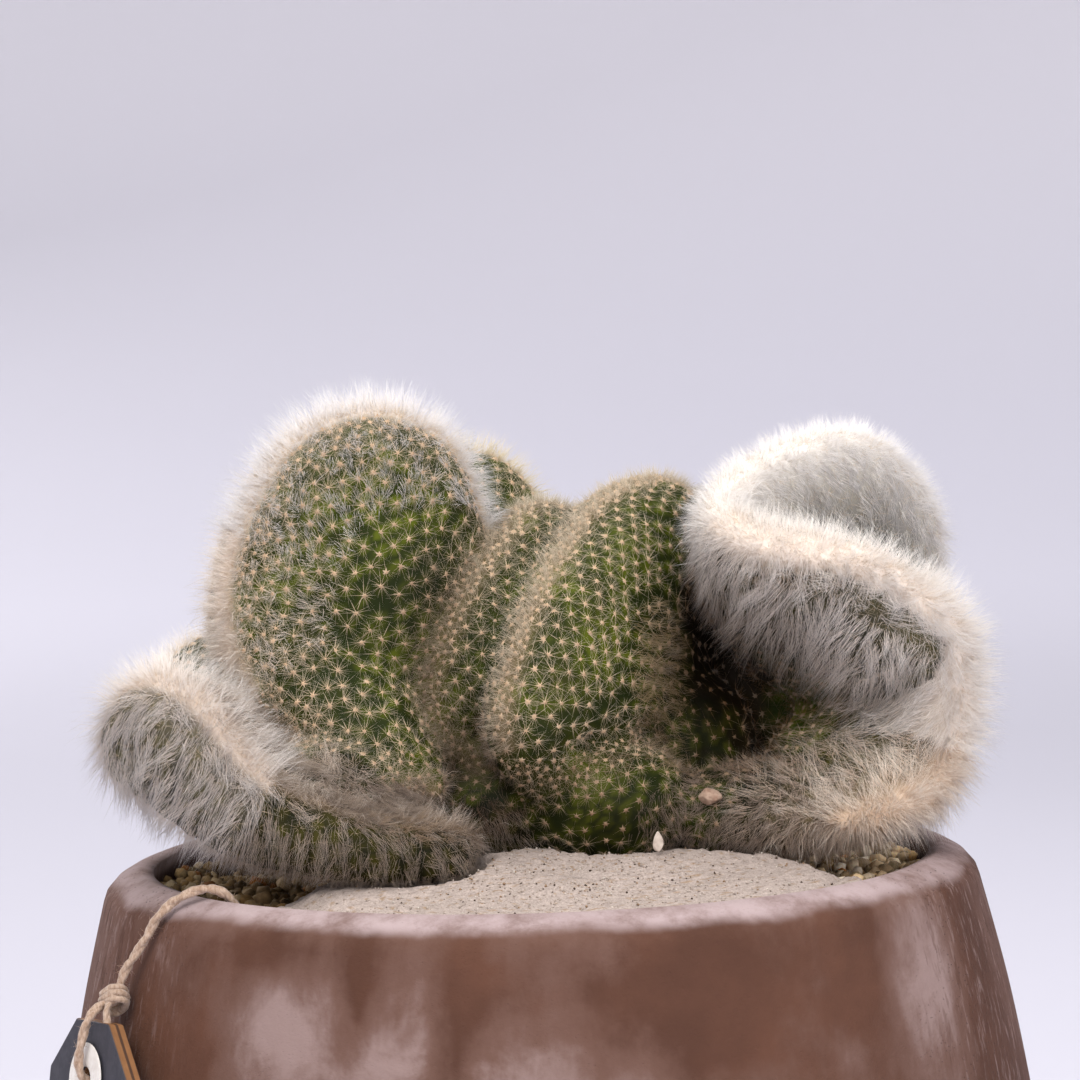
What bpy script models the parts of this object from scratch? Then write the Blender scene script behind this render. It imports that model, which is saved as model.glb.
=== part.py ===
"""Potted crested silver torch cactus with its pot, soil, grit, sand, stones, twine and tag.

Metres, +Z up. The origin is the middle of the pot's foot, on the ground. The side that
the photograph shows faces -Y. Run it with blender --background --python part.py, or from
Blender's text editor.
"""
import math
import random

import bmesh
import bpy
import numpy as np
from mathutils import Matrix, Vector
from mathutils.bvhtree import BVHTree

MM = 0.001
GAP = 0.3                     # clearance between neighbours, mm
SEED = 41

# Pot, mm. The outer side runs down from the rim's inner edge to the foot.
POT_OUTSIDE = [
    (80.6, 149.2), (81.6, 150.0), (84.5, 149.5), (88.5, 147.4), (90.5, 145.2), (91.1, 143.5),
    (96.3, 121.8), (100.4, 98.5), (103.6, 76.0), (105.0, 56.0), (104.0, 41.0), (100.6, 26.0),
    (94.8, 13.0), (88.6, 4.5), (84.5, 1.2), (81.0, 0.0),
]
POT_INSIDE = [(74.0, 11.0), (87.0, 17.0), (94.5, 36.0), (96.0, 58.0), (91.5, 98.0), (84.5, 130.0)]
DRAIN_R = 8.0
POT_STEPS = 48

# Soil, grit and sand, mm
MIX_TOP_Z = 132.0
GRIT_TOP_Z = 144.5
STONE_R = 2.7
STONE_COUNT = 130
SAND_CENTRE = (6.0, -46.0)
SAND_AXES = (60.0, 41.0)
SAND_R = 79.9                 # the sand stops here, against the wall of the pot
SAND_EDGE = 1.0
SAND_FRONT = 2.6
SAND_BACK = 9.4
STUMP_CENTRE = (4.0, 4.0)
STUMP_AXES = (33.0, 20.0)
STUMP_Z = (112.0, 168.0)

# Tag, mm: an octagon cut from plywood, 3 mm off the wall of the pot
TAG_AZIMUTH = -149.5
TAG_Z = 108.5
TAG_OUT = 103.95
TAG_LEAN = 9.0
TAG_ROLL = 3.0
TAG_ACROSS = 36.0
TAG_THICK = 3.3
TAG_HOLE_V = 6.4
TAG_HOLE_R = 2.6
EYELET_R = 7.3
EYELET_THICK = 0.5
KNOT_AXES = (4.3, 3.3, 3.3)
KNOT_AT = (0.8, 22.4, -2.4)   # right, up and out in the tag's own frame
TWINE_D = 2.0
# Over the rim, from the grit to the knot, and then in the tag's own frame: right, up, out.
TWINE_OVER = [
    (-57, -52.5, 146.2), (-57.8, -53, 149.2), (-60.2, -53.5, 151.3), (-63.3, -53.3, 152.3),
    (-66.5, -52.8, 152.4), (-69.8, -52.2, 151.4), (-72.8, -52, 149.5), (-75.5, -52, 146.8),
    (-78.2, -51.2, 142.2),
]
TWINE_LOOP = [
    (1.5, 20.8, 1.2), (1.9, 18.4, 3.4), (1.2, 13.8, 4.2), (0.3, 9.8, 4.0), (0, 7.0, 2.8),
    (0, 5.8, 0), (0, 7.0, -2.8), (0, 9.8, -4.0), (0, 13.2, -4.0), (0, 16.2, -3.9),
]

# Small stones, mm
FLAKE_AT = (24.0, -31.5)
FLAKE_HEIGHT = 4.2
PEBBLE_AT = (34.6, 163.6)     # across and up
PEBBLE_AXES = (2.7, 2.2, 1.9)

# Crest, mm
VOXEL = 2.4
BODY_RATIO = 0.115
SPINE_COUNT = 560
SPINE_SPACING = 7.2
SPINE_LENGTH = (6.0, 8.5)
SPINE_R = 0.6
SPINE_SUNK = 2.0
SPINE_LEAN = (15, 48)

# Each lobe of the crest is a thick leaf of flesh. A row gives a point of its growing edge,
# the point at its root that belongs to it, and half of its thickness there, all in mm.
LOBES = {
    "ear": [
        ((-16, 10, 200), (-24, 6, 190), 9),
        ((-12, 2, 218), (-25, 4, 192), 12),
        ((-15, -3, 234), (-27, 2, 194), 14),
        ((-25, -6, 242), (-30, 1, 196), 15),
        ((-37, -8, 243), (-33, 0, 197), 15),
        ((-49, -10, 237), (-35, 0, 197), 15),
        ((-58, -12, 224), (-36, 0, 195), 15),
        ((-63, -15, 209), (-36, -1, 192), 15),
        ((-62, -19, 195), (-34, -2, 189), 15),
        ((-56, -24, 184), (-31, -3, 186), 14),
        ((-44, -29, 175), (-28, -3, 183), 13),
        ((-31, -32, 169), (-25, -3, 180), 11),
        ((-19, -32, 166), (-20, -2, 177), 9),
    ],
    "low_left": [
        ((-13, -31, 159), (-13, -27, 152), 8),
        ((-24, -38, 162), (-25, -34, 151), 10),
        ((-36, -42, 165), (-37, -37, 150), 11),
        ((-47, -44, 169), (-47, -37, 151), 11),
        ((-56, -45, 176), (-57, -35, 153), 12),
        ((-64, -43, 186), (-65, -33, 158), 13),
        ((-72, -39, 192), (-72, -30, 163), 12),
        ((-79, -33, 191), (-77, -25, 168), 11),
        ((-83, -23, 184), (-79, -16, 171), 9),
    ],
    "left_fold": [
        ((10, 26, 218), (20, 40, 190), 8),
        ((1, 10, 222), (12, 30, 185), 10),
        ((-6, -5, 216), (8, 22, 182), 10),
        ((-13, -15, 207), (6, 14, 180), 10),
        ((-18, -21, 197), (4, 10, 178), 10),
        ((-21, -20, 187), (2, 8, 176), 10),
        ((-20, -18, 178), (2, 6, 174), 9),
        ((-12, -20, 171), (2, 4, 170), 8),
    ],
    "middle_fold": [
        ((38, 26, 220), (36, 40, 190), 10),
        ((28, 17, 226), (34, 34, 188), 13),
        ((16, 5, 223), (33, 28, 185), 14),
        ((7, -10, 214), (32, 24, 182), 14),
        ((0, -22, 203), (31, 20, 180), 14),
        ((-5, -30, 190), (30, 16, 178), 13),
        ((-7, -33, 179), (28, 14, 176), 12),
        ((-3, -32, 171), (26, 12, 172), 11),
        ((8, -27, 169), (24, 10, 171), 10),
        ((20, -18, 174), (22, 10, 173), 9),
    ],
    "right_loop": [
        ((78, 48, 184), (60, 32, 175), 8),
        ((84, 41, 204), (66, 28, 185), 9),
        ((83, 30, 220), (69, 22, 190), 9),
        ((72, 15, 233), (66, 18, 195), 9),
        ((58, 3, 234), (60, 14, 195), 9),
        ((45, -8, 229), (54, 14, 192), 9),
        ((38, -20, 222), (50, 16, 188), 9),
        ((43, -30, 217), (50, 18, 186), 9),
        ((54, -34, 214), (52, 20, 184), 9),
        ((66, -33, 211), (54, 20, 182), 9),
        ((78, -29, 204), (56, 18, 180), 9),
        ((86, -23, 195), (56, 16, 178), 10),
        ((88, -19, 183), (56, 14, 176), 10),
        ((86, -18, 171), (54, 12, 172), 10),
        ((81, -22, 163), (50, 10, 168), 9),
        ((71, -29, 159), (46, 4, 164), 10),
        ((61, -31, 157), (42, 2, 162), 10),
    ],
    "right_brow": [
        ((42, -27, 214), (50, 6, 206), 9),
        ((50, -30, 210), (54, 8, 203), 10),
        ((60, -31, 206), (58, 8, 199), 11),
        ((70, -29, 200), (61, 6, 194), 11),
        ((79, -25, 193), (63, 4, 190), 11),
    ],
    "back_fan": [
        ((-52, 30, 186), (-24, 26, 172), 8),
        ((-50, 36, 206), (-24, 28, 176), 11),
        ((-37, 42, 221), (-21, 30, 180), 12),
        ((-23, 47, 229), (-18, 30, 182), 12),
        ((-12, 50, 231), (-15, 30, 182), 12),
        ((-4, 51, 226), (-12, 30, 180), 12),
        ((2, 50, 215), (-8, 30, 178), 11),
        ((6, 47, 198), (-4, 30, 175), 9),
    ],
    "inner_fold": [
        ((-60, 14, 192), (-34, 10, 176), 9),
        ((-50, 20, 206), (-30, 14, 178), 10),
        ((-36, 23, 213), (-24, 16, 180), 10),
        ((-20, 24, 214), (-16, 16, 180), 10),
        ((-4, 27, 210), (-6, 18, 180), 10),
    ],
    "back_right": [
        ((20, 44, 186), (30, 28, 170), 8),
        ((24, 50, 204), (36, 30, 176), 10),
        ((38, 51, 213), (42, 32, 178), 11),
        ((54, 50, 210), (50, 32, 178), 11),
        ((66, 50, 198), (56, 32, 175), 10),
        ((72, 50, 182), (58, 30, 170), 9),
        ((66, 50, 168), (52, 26, 165), 8),
    ],
    "back_left": [
        ((-80, -6, 172), (-56, 4, 164), 8),
        ((-82, 10, 184), (-56, 8, 168), 10),
        ((-74, 24, 192), (-52, 12, 170), 11),
        ((-60, 34, 190), (-46, 16, 170), 11),
        ((-48, 42, 180), (-40, 18, 168), 10),
        ((-36, 48, 170), (-30, 18, 165), 8),
    ],
    "back_low": [
        ((-34, 50, 162), (-20, 20, 158), 8),
        ((-18, 58, 170), (-10, 22, 160), 10),
        ((2, 62, 174), (6, 24, 162), 11),
        ((22, 61, 170), (22, 24, 160), 11),
        ((42, 58, 164), (34, 22, 158), 10),
        ((56, 48, 160), (44, 18, 158), 8),
    ],
}
# Plain swellings at the foot and in the middle: centre and half axes, mm.
SWELLINGS = {
    "foot_left": ((-10, -11, 161), (15, 13, 12)),
    "foot_right": ((14, -15, 162), (17, 15, 13)),
    "foot_far_right": ((46, -8, 158), (25, 20, 10)),
    "ear_face": ((-36, -7, 206), (24, 15, 32)),
    "ear_chin": ((-42, -31, 169), (16, 10, 9)),
    "heart": ((2, 10, 172), (44, 24, 22)),
    "heart_left": ((-42, 4, 174), (26, 18, 20)),
    "heart_right": ((48, 30, 178), (25, 14, 25)),
    "ear_base": ((-25, 2, 188), (10, 11, 18)),
}


def smooth_route(points, count):
    """Points read evenly along a Catmull-Rom curve through the given rows of numbers."""
    p = np.asarray(points, float)
    p = np.vstack([2 * p[0] - p[1], p, 2 * p[-1] - p[-2]])
    n = len(p) - 3
    u = np.linspace(0, n, 60 * n + 1)
    i = np.minimum(u.astype(int), n - 1)
    t = (u - i)[:, None]
    a, b, c, d = p[i], p[i + 1], p[i + 2], p[i + 3]
    fine = 0.5 * (2 * b + (c - a) * t + (2 * a - 5 * b + 4 * c - d) * t ** 2
                  + (3 * b - a - 3 * c + d) * t ** 3)
    run = np.concatenate([[0], np.cumsum(np.linalg.norm(np.diff(fine[:, :3], axis=0), axis=1))])
    want = np.linspace(0, run[-1], count)
    return np.stack([np.interp(want, run, fine[:, k]) for k in range(fine.shape[1])], axis=1)


def grid_mesh(name, rings, pole_a, pole_b):
    """A closed mesh through rings of points, ended by a point at each end, in mm."""
    count, around = rings.shape[:2]
    verts = [tuple(v) for v in rings.reshape(-1, 3) * MM]
    verts += [tuple(pole_a * MM), tuple(pole_b * MM)]
    a, b = count * around, count * around + 1
    faces = []
    for i in range(count - 1):
        for j in range(around):
            k = (j + 1) % around
            faces.append((i * around + j, i * around + k, (i + 1) * around + k, (i + 1) * around + j))
    for j in range(around):
        k = (j + 1) % around
        faces.append((a, k, j))
        faces.append((b, (count - 1) * around + j, (count - 1) * around + k))
    mesh = bpy.data.meshes.new(name)
    mesh.from_pydata(verts, [], faces)
    bm = bmesh.new()
    bm.from_mesh(mesh)
    bmesh.ops.recalc_face_normals(bm, faces=bm.faces)
    bm.to_mesh(mesh)
    bm.free()
    return mesh


def lobe_mesh(name, rows, count=36, around=20):
    """A leaf of flesh: blunt oval sections from the root line to the growing edge."""
    table = [list(edge) + list(root) + [half] for edge, root, half in rows]
    route = smooth_route(table, count)
    edge, root, half = route[:, :3], route[:, 3:6], route[:, 6]
    along = np.gradient(edge, axis=0)
    out = edge - root
    normal = np.cross(along, out)
    normal /= np.linalg.norm(normal, axis=1)[:, None]
    w = np.linspace(0, 2 * math.pi, around, endpoint=False)
    reach = (1 + np.cos(w)) / 2
    thick = np.sign(np.sin(w)) * np.abs(np.sin(w)) ** 0.75
    u = np.linspace(0, 1, count)
    taper = np.clip(np.minimum(u, 1 - u) * count / 3.0, 0.05, 1) ** 0.5
    rings = (root[:, None] + out[:, None] * reach[None, :, None]
             + normal[:, None] * (half * taper)[:, None, None] * thick[None, :, None])
    return grid_mesh(name, rings, (edge[0] + root[0]) / 2, (edge[-1] + root[-1]) / 2)


def link(obj, collection):
    """Put an object in one collection only."""
    for other in list(obj.users_collection):
        other.objects.unlink(obj)
    collection.objects.link(obj)
    return obj


def add_modifier(obj, kind, **values):
    """Add a modifier and set its values."""
    mod = obj.modifiers.new(kind.lower(), kind)
    for key, value in values.items():
        setattr(mod, key, value)
    return mod


def settle(obj):
    """Replace an object's mesh with its evaluated one and drop the modifiers."""
    depsgraph = bpy.context.evaluated_depsgraph_get()
    mesh = bpy.data.meshes.new_from_object(obj.evaluated_get(depsgraph))
    obj.modifiers.clear()
    obj.data = mesh
    return obj


def keep_largest_shell(obj):
    """Drop every closed shell but the one with the most faces, such as sealed hollows."""
    bm = bmesh.new()
    bm.from_mesh(obj.data)
    left = set(bm.faces)
    shells = []
    while left:
        stack = [left.pop()]
        shell = []
        while stack:
            face = stack.pop()
            shell.append(face)
            for edge in face.edges:
                for other in edge.link_faces:
                    if other in left:
                        left.discard(other)
                        stack.append(other)
        shells.append(shell)
    shells.sort(key=len, reverse=True)
    for shell in shells[1:]:
        bmesh.ops.delete(bm, geom=shell, context="FACES")
    bmesh.ops.triangulate(bm, faces=bm.faces)
    bm.to_mesh(obj.data)
    bm.free()


def crest_body(parts):
    """The folded crest without its bristles: all lobes fused into one skin."""
    bm = bmesh.new()
    for name, rows in LOBES.items():
        bm.from_mesh(lobe_mesh(name, rows))
    for centre, axes in SWELLINGS.values():
        place = Matrix.Translation(Vector(centre) * MM) @ Matrix.Diagonal((*[a * MM for a in axes], 1))
        bmesh.ops.create_uvsphere(bm, u_segments=24, v_segments=16, radius=1, matrix=place)
    mesh = bpy.data.meshes.new("crested_cactus")
    bm.to_mesh(mesh)
    bm.free()
    obj = bpy.data.objects.new("crested_cactus", mesh)
    link(obj, parts)
    add_modifier(obj, "REMESH", mode="VOXEL", voxel_size=VOXEL * MM)
    add_modifier(obj, "SMOOTH", factor=0.5, iterations=2)
    settle(obj)
    keep_largest_shell(obj)
    add_modifier(obj, "DECIMATE", ratio=BODY_RATIO)
    settle(obj)
    return obj


def screw(name, profile, collection, steps=POT_STEPS):
    """A turned solid from a profile of (radius, height) in mm, top to bottom on its outer side."""
    mesh = bpy.data.meshes.new(name)
    count = len(profile)
    closed = profile[0][0] > 0
    edges = [(i, (i + 1) % count) for i in range(count if closed else count - 1)]
    mesh.from_pydata([(r * MM, 0, z * MM) for r, z in profile], edges, [])
    obj = bpy.data.objects.new(name, mesh)
    link(obj, collection)
    add_modifier(obj, "SCREW", angle=math.radians(360), steps=steps, render_steps=steps,
                 use_merge_vertices=True, merge_threshold=0.00001)
    return obj


def inner_radius(z):
    """Radius of the pot's inner wall at a height, mm."""
    heights = [p[1] for p in POT_INSIDE] + [POT_OUTSIDE[0][1]]
    radii = [p[0] for p in POT_INSIDE] + [POT_OUTSIDE[0][0]]
    return float(np.interp(z, heights, radii))


def ellipse_post(name, extra, z0, z1, collection):
    """An upright post of the stump's oval outline, wider all round by extra, mm."""
    bm = bmesh.new()
    place = (Matrix.Translation(Vector((*STUMP_CENTRE, (z0 + z1) / 2)) * MM)
             @ Matrix.Diagonal(((STUMP_AXES[0] + extra) * MM, (STUMP_AXES[1] + extra) * MM, 1, 1)))
    bmesh.ops.create_cone(bm, cap_ends=True, segments=24, radius1=1, radius2=1,
                          depth=(z1 - z0) * MM, matrix=place)
    mesh = bpy.data.meshes.new(name)
    bm.to_mesh(mesh)
    bm.free()
    obj = bpy.data.objects.new(name, mesh)
    return link(obj, collection)


def guide(obj):
    """Mark a cutter or a guide, which is no piece of the plant."""
    obj.hide_render = True
    obj.display_type = "WIRE"
    return obj


def boolean(obj, other, operation):
    """Cut or join obj by other, at once, and remove other."""
    add_modifier(obj, "BOOLEAN", operation=operation, solver="EXACT", object=other)
    settle(obj)
    bpy.data.objects.remove(other)
    return obj


def tree_of(obj):
    """A search tree over an object's faces, in world space."""
    bm = bmesh.new()
    bm.from_mesh(obj.data)
    bm.transform(obj.matrix_world)
    tree = BVHTree.FromBMesh(bm)
    bm.free()
    return tree


def sand_height(x, y):
    """Height of the sand over its flat underside, mm: low at the rim, high by the stem."""
    dx = (x - SAND_CENTRE[0]) / SAND_AXES[0]
    dy = (y - SAND_CENTRE[1]) / SAND_AXES[1]
    inside = max(0.0, 1 - math.sqrt(dx * dx + dy * dy))
    fade = min(1.0, inside / 0.22)
    fade = fade * fade * (3 - 2 * fade)
    back = min(1.0, max(0.0, (y + 78) / 62))
    back = back * back * (3 - 2 * back)
    side = 1 - 0.5 * min(1.0, abs(x - 2) / 60) ** 2
    swell = 0.35 * math.sin(x * 0.16 + 1) * math.sin(y * 0.21)
    full = SAND_FRONT + (SAND_BACK - SAND_FRONT) * back * side + swell
    near_wall = min(1.0, max(0.0, (math.hypot(x, y) - 66) / 12))
    return SAND_EDGE + (full - SAND_EDGE) * max(fade, near_wall * min(1.0, inside / 0.05))


def in_sand(x, y, margin=0.0):
    """True where the sand covers the grit."""
    dx = (x - SAND_CENTRE[0]) / (SAND_AXES[0] + margin)
    dy = (y - SAND_CENTRE[1]) / (SAND_AXES[1] + margin)
    return dx * dx + dy * dy < 1


def bristles(body):
    """Three-sided needles over the whole crest, roots sunk in its flesh, as one mesh."""
    rng = random.Random(SEED)
    tree = tree_of(body)
    mesh = body.data
    mesh.calc_loop_triangles()
    tris = np.array([t.vertices[:] for t in mesh.loop_triangles])
    co = np.array([v.co[:] for v in mesh.vertices]) / MM
    a, b, c = co[tris[:, 0]], co[tris[:, 1]], co[tris[:, 2]]
    area = np.linalg.norm(np.cross(b - a, c - a), axis=1) / 2
    heap = np.cumsum(area)
    edges = np.vstack([smooth_route([r[0] for r in rows], 60) for rows in LOBES.values()])
    placed = []
    bm = bmesh.new()
    tries = 0
    while len(placed) < SPINE_COUNT and tries < 40000:
        tries += 1
        k = int(np.searchsorted(heap, rng.random() * heap[-1]))
        u, v = rng.random(), rng.random()
        if u + v > 1:
            u, v = 1 - u, 1 - v
        p = a[k] + (b[k] - a[k]) * u + (c[k] - a[k]) * v
        lean = math.radians(rng.uniform(*SPINE_LEAN))
        turn = rng.uniform(0, 2 * math.pi)
        length = rng.uniform(*SPINE_LENGTH)
        to_edge = float(np.min(np.linalg.norm(edges - p, axis=1)))
        spacing = SPINE_SPACING * (0.8 if to_edge < 6 else 1.05)
        if placed and float(np.min(np.linalg.norm(np.array(placed) - p, axis=1))) < spacing:
            continue
        spot, normal, _, _ = tree.find_nearest(Vector(p) * MM)
        side = normal.orthogonal().normalized()
        side = Matrix.Rotation(turn, 3, normal) @ side
        way = (normal * math.cos(lean) + side * math.sin(lean)).normalized()
        tip = Vector(p) + way * length
        floor = GRIT_TOP_Z + (GAP + sand_height(tip.x, tip.y) if in_sand(tip.x, tip.y, 3) else 4.0) + 1.2
        if tip.z < floor or (tip.z < 152.5 and math.hypot(tip.x, tip.y) > 77):
            continue
        by_pebble = min(math.hypot(q[0] - PEBBLE_AT[0], q[2] - PEBBLE_AT[1]) for q in (p, tip, (p + tip) / 2))
        if p[2] < 153 or (by_pebble < 5 and tip.y < 0):
            continue
        start = (Vector(p) + way * 0.6) * MM
        if tree.ray_cast(start, way, (length + 2.0) * MM)[0] is not None:
            continue
        placed.append(p)
        root = Vector(p) - way * SPINE_SUNK
        turned = way.to_track_quat("Z", "Y").to_matrix().to_4x4()
        place = Matrix.Translation((root + tip) / 2 * MM) @ turned
        bmesh.ops.create_cone(bm, cap_ends=True, segments=3, radius1=SPINE_R * MM, radius2=0.0,
                              depth=(tip - root).length * MM, matrix=place)
    bmesh.ops.remove_doubles(bm, verts=bm.verts, dist=1e-7)
    out = bpy.data.meshes.new("bristles")
    bm.to_mesh(out)
    bm.free()
    print("bristles", len(placed))
    return bpy.data.objects.new("bristles", out)


def stones(tree, rng):
    """Grit stones that cover the bed outside the sand, each half sunk in it."""
    bm = bmesh.new()
    placed = []
    tries = 0
    while len(placed) < STONE_COUNT and tries < 60000:
        tries += 1
        r = 77.0 * math.sqrt(rng.random())
        turn = rng.uniform(0, 2 * math.pi)
        x, y = r * math.cos(turn), r * math.sin(turn)
        size = STONE_R * rng.uniform(0.85, 1.2)
        if in_sand(x, y, size + 0.8):
            continue
        dx = (x - STUMP_CENTRE[0]) / (STUMP_AXES[0] + 4)
        dy = (y - STUMP_CENTRE[1]) / (STUMP_AXES[1] + 4)
        if dx * dx + dy * dy < 1 or math.hypot(x - TWINE_OVER[0][0], y - TWINE_OVER[0][1]) < size + 1.6:
            continue
        if placed and min(math.hypot(x - q[0], y - q[1]) - q[2] for q in placed) < size * 0.95:
            continue
        hit = tree.ray_cast(Vector((x, y, GRIT_TOP_Z)) * MM, Vector((0, 0, 1)))
        if hit[0] is not None and hit[0].z / MM < GRIT_TOP_Z + size + 2.0:
            continue
        placed.append((x, y, size))
        spin = Matrix.Rotation(rng.uniform(0, 3), 4, (rng.random(), rng.random(), rng.random() + 0.1))
        place = (Matrix.Translation(Vector((x, y, GRIT_TOP_Z + 0.25 * size)) * MM) @ spin
                 @ Matrix.Diagonal((size * MM, size * rng.uniform(0.75, 1) * MM, size * 0.85 * MM, 1)))
        bmesh.ops.create_uvsphere(bm, u_segments=4, v_segments=2, radius=1, matrix=place)
    mesh = bpy.data.meshes.new("stones")
    bm.to_mesh(mesh)
    bm.free()
    print("stones", len(placed))
    return bpy.data.objects.new("stones", mesh)


def sand_mesh(tree):
    """The heap of sand: rings from its middle out, dug away under the crest."""
    around, count = 40, 12
    turn = np.linspace(0, 2 * math.pi, around, endpoint=False)
    rings = np.zeros((count + 1, around, 3))
    for j in range(around):
        ex = SAND_AXES[0] * math.cos(turn[j])
        ey = SAND_AXES[1] * math.sin(turn[j])
        reach = 1.0
        while math.hypot(SAND_CENTRE[0] + ex * reach, SAND_CENTRE[1] + ey * reach) > SAND_R:
            reach -= 0.002
        for i in range(count):
            f = reach * ((i + 1) / count) ** 0.85
            x, y = SAND_CENTRE[0] + ex * f, SAND_CENTRE[1] + ey * f
            z = GRIT_TOP_Z + GAP + sand_height(x, y)
            rings[i, j] = (x, y, min(z, roof(tree, x, y) - 1.6))
        rings[count, j] = (rings[count - 1, j, 0], rings[count - 1, j, 1], GRIT_TOP_Z + GAP)
    x, y = SAND_CENTRE
    top = np.array((x, y, GRIT_TOP_Z + GAP + sand_height(x, y)))
    return grid_mesh("sand_mound", rings, top, np.array((x, y, GRIT_TOP_Z + GAP)))


def roof(tree, x, y):
    """Lowest point of the crest over a small patch of ground, mm."""
    low = 400.0
    for dx, dy in ((0, 0), (4, 0), (-4, 0), (0, 4), (0, -4), (3, 3), (-3, 3), (3, -3), (-3, -3)):
        px = x + dx - STUMP_CENTRE[0]
        py = y + dy - STUMP_CENTRE[1]
        if (px / (STUMP_AXES[0] + 1)) ** 2 + (py / (STUMP_AXES[1] + 1)) ** 2 < 1:
            continue
        hit = tree.ray_cast(Vector((x + dx, y + dy, 140)) * MM, Vector((0, 0, 1)))
        if hit[0] is not None:
            low = min(low, hit[0].z / MM)
    return max(low, GRIT_TOP_Z + GAP + 2.0)


def tag_frame():
    """Place of the tag: X to its right, Y up it and Z out of its face."""
    az = math.radians(TAG_AZIMUTH)
    lean = math.radians(TAG_LEAN)
    out = Vector((math.cos(az), math.sin(az), 0))
    right = Vector((-math.sin(az), math.cos(az), 0))
    up = Vector((0, 0, 1)) * math.cos(lean) - out * math.sin(lean)
    face = out * math.cos(lean) + Vector((0, 0, 1)) * math.sin(lean)
    at = (out * TAG_OUT + Vector((0, 0, TAG_Z))) * MM
    turned = Matrix((
        (right.x, up.x, face.x, at.x), (right.y, up.y, face.y, at.y),
        (right.z, up.z, face.z, at.z), (0, 0, 0, 1)))
    return turned @ Matrix.Rotation(math.radians(TAG_ROLL), 4, "Z")


def twine_curve(name, thickness, collection):
    """The twine's tube along its smooth route."""
    frame = tag_frame()
    route = [Vector(p) for p in TWINE_OVER]
    knot = frame @ (Vector(KNOT_AT) * MM) / MM
    route.append(knot + Vector((2.3, -0.6, 5.6)))
    route.append(knot)
    route += [frame @ (Vector(p) * MM) / MM for p in TWINE_LOOP]
    line = smooth_route([tuple(p) for p in route], 44)
    curve = bpy.data.curves.new(name, "CURVE")
    curve.dimensions = "3D"
    curve.bevel_depth = thickness / 2 * MM
    curve.bevel_resolution = 2
    curve.use_fill_caps = True
    spline = curve.splines.new("POLY")
    spline.points.add(len(line) - 1)
    for point, p in zip(spline.points, line):
        point.co = (p[0] * MM, p[1] * MM, p[2] * MM, 1)
    obj = bpy.data.objects.new(name, curve)
    return link(obj, collection)


def primitive(name, collection, make, matrix, **values):
    """A closed primitive from a bmesh.ops maker, placed by its matrix."""
    bm = bmesh.new()
    make(bm, **values)
    mesh = bpy.data.meshes.new(name)
    bm.to_mesh(mesh)
    bm.free()
    obj = bpy.data.objects.new(name, mesh)
    obj.matrix_world = matrix
    return link(obj, collection)


def small_stones(skin, parts):
    """The chip that stands in the sand and the pebble in the crease of the crest."""
    x, y = FLAKE_AT
    foot = GRIT_TOP_Z + GAP + sand_height(x, y) + GAP
    lean = Matrix.Rotation(math.radians(9), 4, "Y") @ Matrix.Rotation(math.radians(20), 4, "Z")
    flake = primitive("stone_flake", parts, bmesh.ops.create_cone,
                      Matrix.Translation(Vector((x, y, foot + FLAKE_HEIGHT / 2 + 0.3)) * MM) @ lean,
                      cap_ends=True, segments=6, radius1=1.3 * MM, radius2=0.5 * MM,
                      depth=FLAKE_HEIGHT * MM)
    flake.data.transform(Matrix.Diagonal((1, 0.6, 1, 1)))
    paint(flake, "pale_stone", (0.62, 0.55, 0.46), 0.85)
    across, up = PEBBLE_AT
    pebble = primitive("pebble", parts, bmesh.ops.create_icosphere,
                       Matrix.Translation(Vector((across, 0, up)) * MM), subdivisions=2, radius=1 * MM)
    pebble.data.transform(Matrix.Diagonal((*PEBBLE_AXES, 1)))
    back = -60.0
    while back < 20:
        spots = [v.co + Vector((across, back, up)) * MM for v in pebble.data.vertices]
        if min(skin.find_nearest(q)[3] for q in spots) < (GAP + 0.08) * MM:
            break
        back += 0.06
    pebble.location = Vector((across, back, up)) * MM
    paint(pebble, "pale_stone_pebble", (0.60, 0.50, 0.42), 0.85)


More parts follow.
